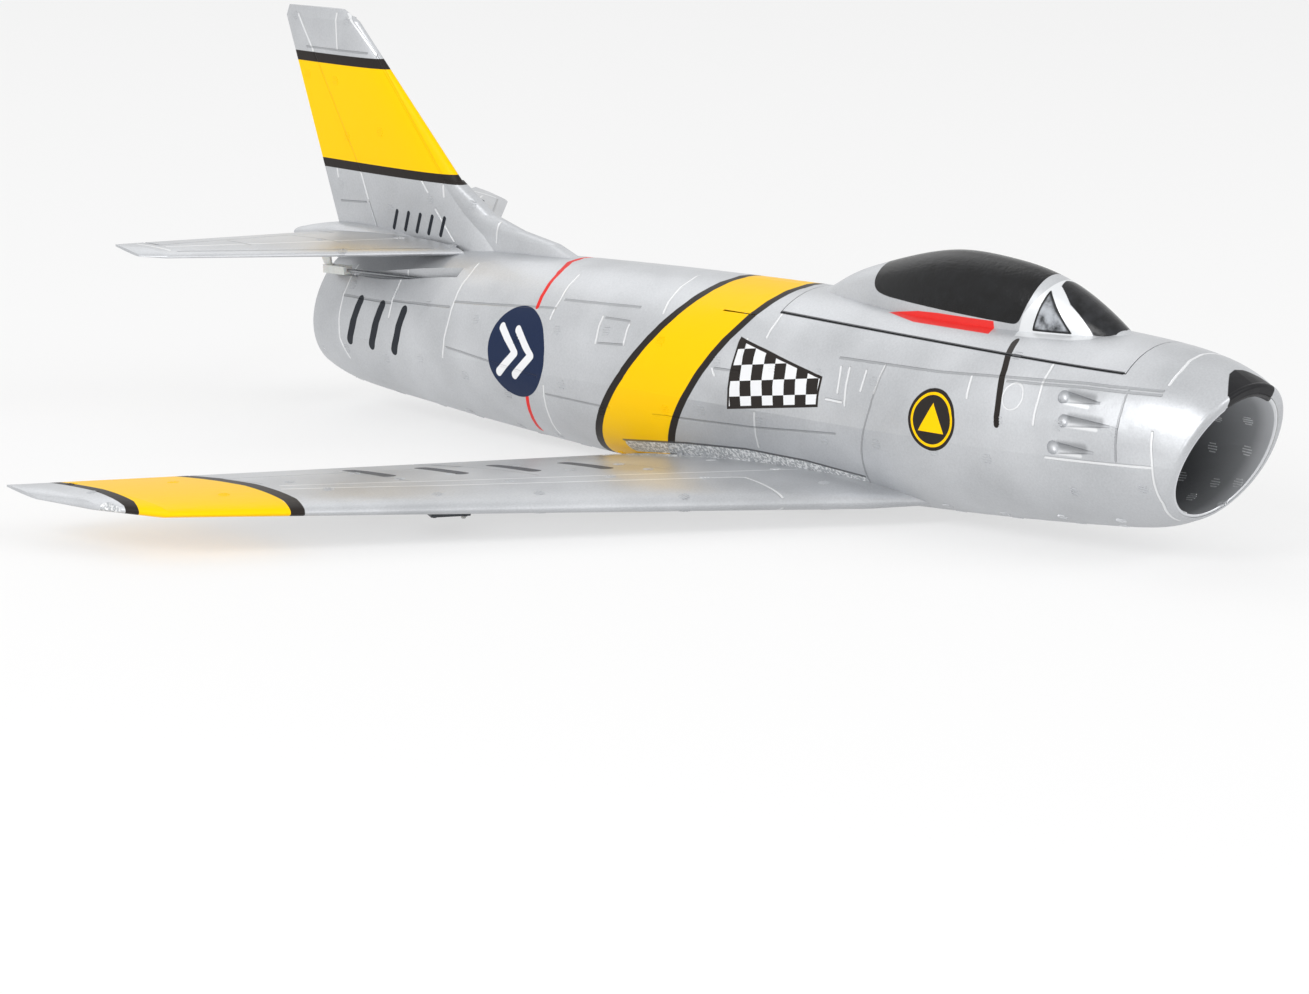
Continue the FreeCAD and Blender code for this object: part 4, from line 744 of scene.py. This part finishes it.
class JET_OT_vents(bpy.types.Operator):
    """Raise the mould's steam vents on the foam: round marks of fine bars"""
    bl_idname = "jet.vents"
    bl_label = "Raise steam vents"

    def execute(self, context):
        paint = context.scene.jet_paint
        radius, pitch = paint.vent_radius, paint.vent_pitch / 1000
        # four bars that fill a circle, sunk a little and standing 0.15 mm proud
        width, sunk, proud = radius * 0.13, -0.12, 0.15
        shape = bmesh.new()
        for bar in (-0.72, -0.24, 0.24, 0.72):
            half = radius * math.sqrt(1 - bar * bar)
            block(shape, (bar * radius - width, -half, sunk), (bar * radius + width, half, proud),
                  0.07)
        stamp = shape_object("vent_stamp", shape)
        # vents in the liner are a bright silver without the painted shade that darkens the liner
        # further in, so they are brighter than it
        spray = worked("silver_overspray", "#eceef0", "#cfd1d3", 0.4, 0.8, 0.01, IOR=1.5,
                       Metallic=0.3)
        aft, lifted = (0, pitch, 0), (0, 0, pitch * 0.8)
        # each lattice: its middle, its steps, how many rays, how far they stray as a share of a
        # step, and how squarely the skin must face them
        for sign, hand in ((1, "left"), (-1, "right")):
            for name, node, middle, across, along, counts, scatter, facing, seed in (
                    ("fuselage", f"fuselage_{hand}", (236, 3), aft, lifted, (17, 2), 0.22, 0.75,
                     5),
                    ("fin", "fin", (415, 78), aft, lifted, (5, 4), 0.22, 0.75, 6),
                    ("hatch", "canopy_hatch", (125, 31.6), (0, pitch * 1.1, 0), (0, 0, 0.004),
                     (4, 2), 0.3, 0.6, 7)):
                stamp_on(f"vents_{name}_{hand}", node, stamp, spot(sign * START_FAR, *middle),
                         across, along, (-sign, 0, 0), counts, scatter, facing, seed)
            for level, fall in (("top", -1), ("bottom", 1)):
                for name, out, middle, counts in (("wing", 125, 232, (8, 9)),
                                                  ("stabilizer", 46, 398, (4, 3))):
                    node = f"{name}_{hand}"
                    stamp_on(f"vents_{node}_{level}", node, stamp,
                             spot(sign * out, middle, -fall * START_FAR), (pitch, 0, 0), aft,
                             (0, 0, fall), counts, 0.2, 0.9, 8)
            # the belly, from below, and the liner, from inside it
            stamp_on(f"vents_belly_{hand}", f"fuselage_{hand}", stamp,
                     spot(sign * 15, 236, -START_FAR), (0.007, 0, 0), aft, (0, 0, 1), (2, 16),
                     0.22, 0.8, 9)
            stamp_on(f"vents_intake_{hand}", "intake_duct", stamp, spot(0, 32, 0),
                     (0, pitch * 0.5, 0), (0, 0, pitch * 0.42), (sign, 0, 0), (5, 3), 0.2, 0.5,
                     10 + sign, spray)
        stamp_on("vents_intake_floor", "intake_duct", stamp, spot(0, 34, 0), (pitch * 0.42, 0, 0),
                 (0, pitch * 0.5, 0), (0, 0, -1), (3, 5), 0.2, 0.6, 12, spray)
        bpy.data.objects.remove(stamp)
        return {"FINISHED"}


class JET_OT_intake(bpy.types.Operator):
    """Finish the intake liner and the tailpipe"""
    bl_idname = "jet.intake"
    bl_label = "Finish intake"

    def execute(self, context):
        # thin vacuum-formed liner sprayed satin silver; its colour darkens to grey further in, as
        # painted shade deep in the duct
        material, tree, shader = new_material("sprayed_liner", Metallic=0.35, Roughness=0.4)
        place = maker_place(tree)
        axes = parts_of(tree, place)
        # the depth is taken square to the leaning mouth
        deep = ranged(tree, maths(tree, "MULTIPLY_ADD", axes[2], 0.49, axes[1]), 12.0, 110.0)
        ramp = add(tree, "ShaderNodeValToRGB", {0: deep})
        stops = ramp.color_ramp.elements
        stops[0].color, stops[0].position = linear("#d2d4d7"), 0.0
        stops[1].color, stops[1].position = linear("#636467"), 1.0
        for at, code in ((0.04, "#c4c6c9"), (0.08, "#a3a5a8"), (0.35, "#86888b")):
            stops.new(at).color = linear(code)
        cap = cap_mask(tree, place, [(-1, -9), (11, -9), (11, 4.5), (-1, 4.5)], 17.5)
        colour = blended(tree, cap, ramp.outputs[0], "#242426")
        height = maths(tree, "MULTIPLY", noise(tree, place, 1.2, 2.0), 0.00005)
        feed(tree, shader, {"Base Color": colour, "Normal": relief(tree, height)})
        dress(material, "intake_duct", "tailpipe")
        return {"FINISHED"}


# ---------------------------------------------------------------- fittings
def worked(name, light, dark, rough, grain, deep, stretch=(1, 1, 1), around=None, **inputs):
    """A finish whose grain has a width and depth in millimetres, drawn out or turned."""
    material, tree, shader = new_material(name, **inputs)
    place = maker_place(tree)
    if around:
        # rings of a lathe: the grain changes with the distance from the axis, not round it
        axes = parts_of(tree, vectors(tree, "SUBTRACT", place, (around[0], 0, around[1])))
        radius = vectors(tree, "LENGTH", point_of(tree, axes[0], axes[2]))
        place = point_of(tree, radius, axes[1])
    drawn = vectors(tree, "MULTIPLY", place, stretch)
    fine = noise(tree, drawn, grain, 3.0)
    wide = noise(tree, drawn, 9 * grain, 1.0)
    share = ranged(tree, maths(tree, "ADD", fine, wide), 0.75, 1.25)
    colour = blended(tree, share, dark, light)
    worn = ranged(tree, wide, 0.3, 0.7, rough - 0.05, rough + 0.07)
    height = maths(tree, "MULTIPLY", fine, deep / 1000)
    feed(tree, shader, {"Base Color": colour, "Roughness": worn, "Normal": relief(tree, height)})
    return material


FAN_AXIS = (0, -1.0)


class JET_OT_fan(bpy.types.Operator):
    """Finish the ducted fan: housing, rotor, spinner, motor and shaft"""
    bl_idname = "jet.fan"
    bl_label = "Finish fan"

    def execute(self, context):
        # glass-filled nylon, moulded: dark, matt, with a faint flow of fibres
        dress(worked("moulded_nylon_housing", "#2c2d2f", "#1d1e20", 0.55, 0.8, 0.02, IOR=1.53),
              "fan_housing")
        # unfilled nylon for the blades: smoother, so it takes a soft shine
        dress(worked("moulded_nylon_blades", "#232426", "#17181a", 0.34, 1.4, 0.006, IOR=1.53),
              "fan_rotor")
        # aluminium turned on a lathe: rings round its axis that spread each highlight
        dress(worked("turned_aluminium", "#b9bbbd", "#a2a4a7", 0.3, 0.5, 0.008, (1, 1, 1),
                     FAN_AXIS, Metallic=1.0, Anisotropic=0.4), "fan_spinner")
        # anodised aluminium can: even, satin, a little violet-grey
        dress(worked("anodised_aluminium", "#54565c", "#484a50", 0.36, 0.6, 0.006, (1, 1, 1),
                     FAN_AXIS, Metallic=1.0), "fan_motor")
        # ground steel rod: fine marks round it
        dress(worked("ground_steel", "#a7a9ab", "#8f9193", 0.24, 0.3, 0.003, (0.2, 1, 1),
                     Metallic=1.0), "fan_shaft")
        return {"FINISHED"}


class JET_OT_linkages(bpy.types.Operator):
    """Finish the servos, their screws, arms, horns, rods and the spar"""
    bl_idname = "jet.linkages"
    bl_label = "Finish linkages"

    def execute(self, context):
        # moulded ABS cases: dark, satin, a fine spark-eroded texture
        dress(worked("moulded_abs_case", "#34373d", "#292c31", 0.45, 0.5, 0.012, IOR=1.54),
              *both("aileron_servo"), "elevator_servo")
        # natural nylon: milky white with a waxy, softly scattering skin
        dress(worked("natural_nylon", "#eeece6", "#e2dfd7", 0.42, 1.1, 0.008, IOR=1.53,
                     Subsurface_Weight=0.15),
              *both("aileron_arm"), *both("aileron_horn"), "elevator_servo_arm",
              "elevator_horn", "elevator_clevis")
        # extruded tube: the same nylon, drawn out lengthwise
        dress(worked("extruded_nylon_tube", "#ebe9e2", "#dedbd3", 0.36, 0.7, 0.006,
                     (1, 0.04, 1), IOR=1.53, Subsurface_Weight=0.15), "pushrod_sleeve")
        # drawn spring wire: bright with faint die marks along it
        wire = ("#a9abad", "#87898c", 0.27, 0.25, 0.004)
        dress(worked("drawn_spring_wire", *wire, (1, 0.05, 1), Metallic=1.0),
              "elevator_pushrod", *both("aileron_link"))
        dress(worked("drawn_wire_joiner", *wire, (0.05, 1, 1), Metallic=1.0), "elevator_joiner")
        # pultruded carbon rod: black, with fibres that run its length and glint
        dress(worked("pultruded_carbon", "#2b2c2e", "#141516", 0.34, 0.2, 0.01,
                     (0.02, 1, 1), IOR=1.6), "wing_spar")
        # black-oxide screws hold each wing servo's case together
        screw = worked("black_oxide_screw", "#3a3b3d", "#2a2b2c", 0.38, 0.3, 0.006, Metallic=1.0)
        stamp = self.screw_stamp(0.85, 0.35)
        # at the corners of a case 10.6 by 14.2 mm, turned with the swept hinge
        swept = math.radians(28)
        for sign, hand in ((1, "left"), (-1, "right")):
            outward = Vector((sign * math.cos(swept), math.sin(swept), 0))
            backward = Vector((-sign * math.sin(swept), math.cos(swept), 0))
            stamp_on(f"servo_screws_{hand}", f"aileron_servo_{hand}", stamp,
                     (sign * 0.1275, 0.006, -0.05), outward * 0.0106, backward * 0.0142,
                     (0, 0, 1), (2, 2), finish=screw)
        bpy.data.objects.remove(stamp)
        return {"FINISHED"}

    def screw_stamp(self, radius, height):
        """A domed screw head with a cross recess, standing on the skin, in millimetres."""
        shape = bmesh.new()
        arm, width, deep, sides = radius * 0.62, radius * 0.17, height * 0.45, 20
        turns = [math.tau * n / sides for n in range(sides)]
        rings = [[shape.verts.new((r * math.cos(t) / 1000, r * math.sin(t) / 1000, z / 1000))
                  for t in turns]
                 for r, z in ((radius, -0.1), (radius, height * 0.45), (radius * 0.84, height))]
        for low, high in zip(rings, rings[1:]):
            for n in range(sides):
                shape.faces.new((low[n - 1], low[n], high[n], high[n - 1]))
        shape.faces.new(rings[0][::-1])
        cross = []
        for turn in range(4):
            angle = -turn * math.pi / 2
            for x, y in ((width, width), (arm, width), (arm, -width)):
                cross.append((x * math.cos(angle) - y * math.sin(angle),
                              x * math.sin(angle) + y * math.cos(angle)))
        edge, floor = ([shape.verts.new((x / 1000, y / 1000, z / 1000)) for x, y in cross]
                       for z in (height, height - deep))
        for n in range(len(cross)):
            shape.faces.new((edge[n - 1], edge[n], floor[n], floor[n - 1]))
        rim = [shape.edges.get((loop[n - 1], loop[n])) for loop in (rings[2], edge)
               for n in range(len(loop))]
        bmesh.ops.triangle_fill(shape, use_beauty=True, use_dissolve=False, edges=rim)
        shape.faces.new(floor)
        return shape_object("screw_stamp", shape)


class JET_OT_electrics(bpy.types.Operator):
    """Finish what lies under the hatch: battery, pad, speed controller, board and magnets"""
    bl_idname = "jet.electrics"
    bl_label = "Finish electrics"

    def execute(self, context):
        # shrink-wrapped pack: PVC film drawn tight, with a gloss broken by shallow ripples
        wrap = worked("shrunk_pvc_wrap", "#2f5f9e", "#27548f", 0.26, 5.0, 0.12, IOR=1.54)
        self.rounded("battery_pack", wrap, 1.6, "battery")
        # hook-and-loop tape: a dull nap of fine loops
        dress(worked("hook_and_loop", "#2a2a2c", "#161617", 0.9, 0.45, 0.25, IOR=1.5,
                     Sheen_Weight=0.4), "battery_pad")
        # a speed controller in clear-black shrink tube, parts showing as soft lumps
        tube = worked("shrunk_tube", "#26282b", "#1a1c1f", 0.3, 3.2, 0.35, IOR=1.54)
        self.rounded("wrapped_speed_controller", tube, 0.9, "speed_controller")
        # glass-epoxy board under green solder mask, woven glass showing faintly through
        dress(worked("glass_epoxy_board", "#2c6b46", "#235a3a", 0.4, 0.35, 0.01, IOR=1.55),
              "control_board")
        # bright nickel plate: nearly a mirror, very slightly rippled
        dress(worked("nickel_plate", "#c9c5bd", "#bab6ae", 0.16, 1.2, 0.004, Metallic=1.0),
              "hatch_magnet_front", "hatch_magnet_back", "deck_magnet_front", "deck_magnet_back")
        # epoxy-moulded chips and a header of gold-plated pins on the board
        epoxy = worked("moulded_epoxy", "#2b2c2e", "#1f2022", 0.5, 0.4, 0.01, IOR=1.55)
        top = (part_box("control_board")[1] * 1000).z
        shape = bmesh.new()
        for x, y, wide, long, tall in ((-3.5, -183.5, 7, 7, 1.1), (5.2, -184.5, 4, 5, 1.0),
                                       (4.8, -176.5, 5, 3.2, 1.4), (-6.6, -174.2, 2.6, 4.2, 0.9)):
            block(shape, (x - wide / 2, y - long / 2, top - 0.1),
                  (x + wide / 2, y + long / 2, top + tall), 0.12)
        block(shape, (-1.6, -172.6, top - 0.1), (8.6, -169.2, top + 1.6), 0.1)
        chips = shape_object("board_chips", shape, epoxy)
        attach(chips, BODY_OF["control_board"])
        gold = worked("gold_plate", "#d8b25a", "#c79f48", 0.22, 0.5, 0.003, Metallic=1.0)
        shape = bmesh.new()
        block(shape, (-0.25, -0.25, -0.2), (0.25, 0.25, 1.5), 0.02)
        stamp = shape_object("pin_stamp", shape)
        stamp_on("board_pins", "board_chips", stamp, (0.0035, -0.1709, 0.09), (0.00127, 0, 0),
                 (0, 0.0016, 0), (0, 0, -1), (7, 2), finish=gold, body=BODY_OF["control_board"])
        bpy.data.objects.remove(stamp)
        return {"FINISHED"}

    def rounded(self, name, material, edge, node):
        """A soft-edged wrapped block in a node's place, its film pinched along the ends."""
        low, high = (corner * 1000 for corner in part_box(node))
        shape = bmesh.new()
        block(shape, low, high)
        longest = [item for item in shape.edges
                   if abs(item.verts[0].co.y - item.verts[1].co.y) > 0.001]
        bmesh.ops.subdivide_edges(shape, edges=longest, cuts=11, use_grid_fill=True)
        middle = (low + high) / 2000
        for vert in shape.verts:
            end = min(abs(vert.co.y - low.y / 1000), abs(vert.co.y - high.y / 1000))
            if 0.0005 < end < 0.004:
                continue
            dip = 0.985 if end < 0.0005 else 0.992 + 0.008 * math.sin(vert.co.y * 900)
            vert.co.x = middle.x + (vert.co.x - middle.x) * dip
            vert.co.z = middle.z + (vert.co.z - middle.z) * dip
        piece = shape_object(name, shape, material)
        soften(piece, edge)
        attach(piece, BODY_OF[node])
        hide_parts(node)


def background_rays(tree):
    """1 for the rays that see the plain background: (to the eye and in gloss, to the eye)."""
    rays = add(tree, "ShaderNodeLightPath").outputs
    eye = rays["Is Camera Ray"]
    return joined(tree, (eye, rays["Is Glossy Ray"], rays["Is Transmission Ray"])), eye


class JET_OT_stage(bpy.types.Operator):
    """Lay the floor, hang the lamps and set the camera"""
    bl_idname = "jet.stage"
    bl_label = "Set stage"

    def execute(self, context):
        studio = context.scene.jet_studio
        scene = context.scene
        # a pale sweep of paper: shows its own white to the eye and keeps the shadow
        material, tree, shader = new_material("paper_floor", Roughness=0.9)
        feed(tree, shader, {"Base Color": "#f3f3f3"})
        glow = add(tree, "ShaderNodeEmission", {"Color": (1, 1, 1, 1), "Strength": 1.0}).outputs[0]
        share = maths(tree, "MULTIPLY", background_rays(tree)[0], 0.6)
        lit = add(tree, "ShaderNodeMixShader", {0: share, 1: shader.outputs[0], 2: glow})
        output = next(node for node in tree.nodes if node.type == "OUTPUT_MATERIAL")
        tree.links.new(lit.outputs[0], output.inputs["Surface"])
        shape = bmesh.new()
        bmesh.ops.create_grid(shape, x_segments=1, y_segments=1, size=6)
        mesh = bpy.data.meshes.new("floor")
        shape.to_mesh(mesh)
        shape.free()
        mesh.materials.append(material)
        floor = bpy.data.objects.new("floor", mesh)
        scene.collection.objects.link(floor)

        world = bpy.data.worlds.new("studio")
        scene.world = world
        world.use_nodes = True
        tree = world.node_tree
        tree.nodes.clear()
        seen, eye = background_rays(tree)
        level = ranged(tree, seen, 0.0, 1.0, studio.world_level, 1.0)
        # a little below white to the eye alone, so that floor and surround meet softly
        level = maths(tree, "MULTIPLY_ADD", eye, -0.14, level)
        back = add(tree, "ShaderNodeBackground", {"Color": (1, 1, 1, 1), "Strength": level})
        add(tree, "ShaderNodeOutputWorld", {"Surface": back.outputs[0]})

        for name, place, size, power in (
                ("key", (-1.7, 0.0, 1.25), 0.75, studio.key_power),
                ("fill", (0.6, -1.9, 0.9), 1.4, studio.fill_power),
                ("low", (-1.7, -0.7, 0.1), 1.2, studio.low_power),
                ("back", (0.4, 1.6, 1.6), 1.4, studio.back_power)):
            lamp = bpy.data.lights.new(name, "AREA")
            lamp.size = size
            lamp.energy = power
            holder = bpy.data.objects.new(name, lamp)
            scene.collection.objects.link(holder)
            holder.location = place
            holder.rotation_euler = (-Vector(place)).to_track_quat("-Z", "Y").to_euler()
            holder.visible_camera = False

        # the camera turns a little about its own line of sight
        aim, distance = Vector((-0.04187, -0.00529, -0.00157)), 1.61922
        bearing, rise, roll = (math.radians(angle) for angle in (-43.103, 12.275, 1.494))
        away = Vector((math.sin(bearing) * math.cos(rise), -math.cos(bearing) * math.cos(rise),
                       math.sin(rise)))
        camera = bpy.data.objects.new("camera", bpy.data.cameras.new("camera"))
        scene.collection.objects.link(camera)
        right = (-away).cross(Vector((0, 0, 1))).normalized()
        top = right.cross(-away)
        turned = math.cos(roll) * right - math.sin(roll) * top
        upright = math.sin(roll) * right + math.cos(roll) * top
        axes = Matrix((turned, upright, away)).transposed().to_4x4()
        camera.matrix_world = Matrix.Translation(aim + away * distance) @ axes
        camera.data.lens = 128.8
        camera.data.sensor_width = 36
        camera.data.clip_end = 50
        scene.camera = camera
        scene.view_settings.view_transform = "Standard"
        return {"FINISHED"}


# ---------------------------------------------------------------- settings, panel and main
def shade(name, note, code):
    """A colour setting with its first value as an sRGB hex code."""
    return FloatVectorProperty(name=name, description=note, subtype="COLOR",
                               default=linear(code)[:3], min=0, max=1)


def size(name, note, default, low, high):
    """A size setting in millimetres."""
    return FloatProperty(name=name, description=note + " in millimetres", default=default,
                         min=low, max=high)


def level(name, note, default):
    """A lamp's or the world's level."""
    return FloatProperty(name=name, description=note, default=default, min=0)


class JetPaint(bpy.types.PropertyGroup):
    """Colours and relief of the lacquered foam"""
    silver: shade("Silver", "Lit silver lacquer", "#c9cbce")
    silver_shade: shade("Silver shade", "Thin silver lacquer", "#b4b6b9")
    band_yellow: shade("Band yellow", "Recognition bands", "#ffca00")
    border_black: shade("Border black", "Borders and stripes", "#2b2725")
    stripe_red: shade("Stripe red", "Pointed stripe and ring", "#e0302c")
    disc_navy: shade("Disc navy", "Disc on the rear fuselage", "#1d2a47")
    bead_size: size("Bead size", "Width of a foam bead", 3.2, 1, 8)
    vent_radius: size("Vent radius", "Steam vent radius", 1.9, 0.5, 4)
    vent_pitch: size("Vent pitch", "Steam vent spacing", 26, 10, 60)
    groove_depth: size("Groove depth", "Panel line depth", 0.28, 0, 1)


class JetStudio(bpy.types.PropertyGroup):
    """Lamp levels"""
    key_power: level("Key", "Power of the key lamp", 14)
    fill_power: level("Fill", "Power of the fill lamp", 18)
    low_power: level("Low", "Power of the low side lamp", 12)
    back_power: level("Back", "Power of the back lamp", 5)
    world_level: level("World", "Even light from all round", 0.6)


OPERATORS = (JET_OT_fuselage, JET_OT_hatch, JET_OT_tail, JET_OT_wings, JET_OT_intake,
             JET_OT_vents, JET_OT_fan, JET_OT_linkages, JET_OT_electrics, JET_OT_stage)


class JET_PT_panel(bpy.types.Panel):
    """Lists the jet's settings and operators"""
    bl_label = "Foam jet plane"
    bl_space_type = "VIEW_3D"
    bl_region_type = "UI"
    bl_category = "Jet"

    def draw(self, context):
        for group in (context.scene.jet_paint, context.scene.jet_studio):
            for name in group.bl_rna.properties.keys():
                if name not in ("rna_type", "name"):
                    self.layout.prop(group, name)
        for operator in OPERATORS:
            self.layout.operator(operator.bl_idname)


CLASSES = (JetPaint, JetStudio, *OPERATORS, JET_PT_panel)


def register():
    for cls in CLASSES:
        bpy.utils.register_class(cls)
    bpy.types.Scene.jet_paint = PointerProperty(type=JetPaint)
    bpy.types.Scene.jet_studio = PointerProperty(type=JetStudio)


def unregister():
    del bpy.types.Scene.jet_paint
    del bpy.types.Scene.jet_studio
    for cls in reversed(CLASSES):
        bpy.utils.unregister_class(cls)


def main():
    """Register and run every operator in order."""
    register()
    for operator in OPERATORS:
        group, name = operator.bl_idname.split(".")
        getattr(getattr(bpy.ops, group), name)()


if __name__ == "__main__":
    main()
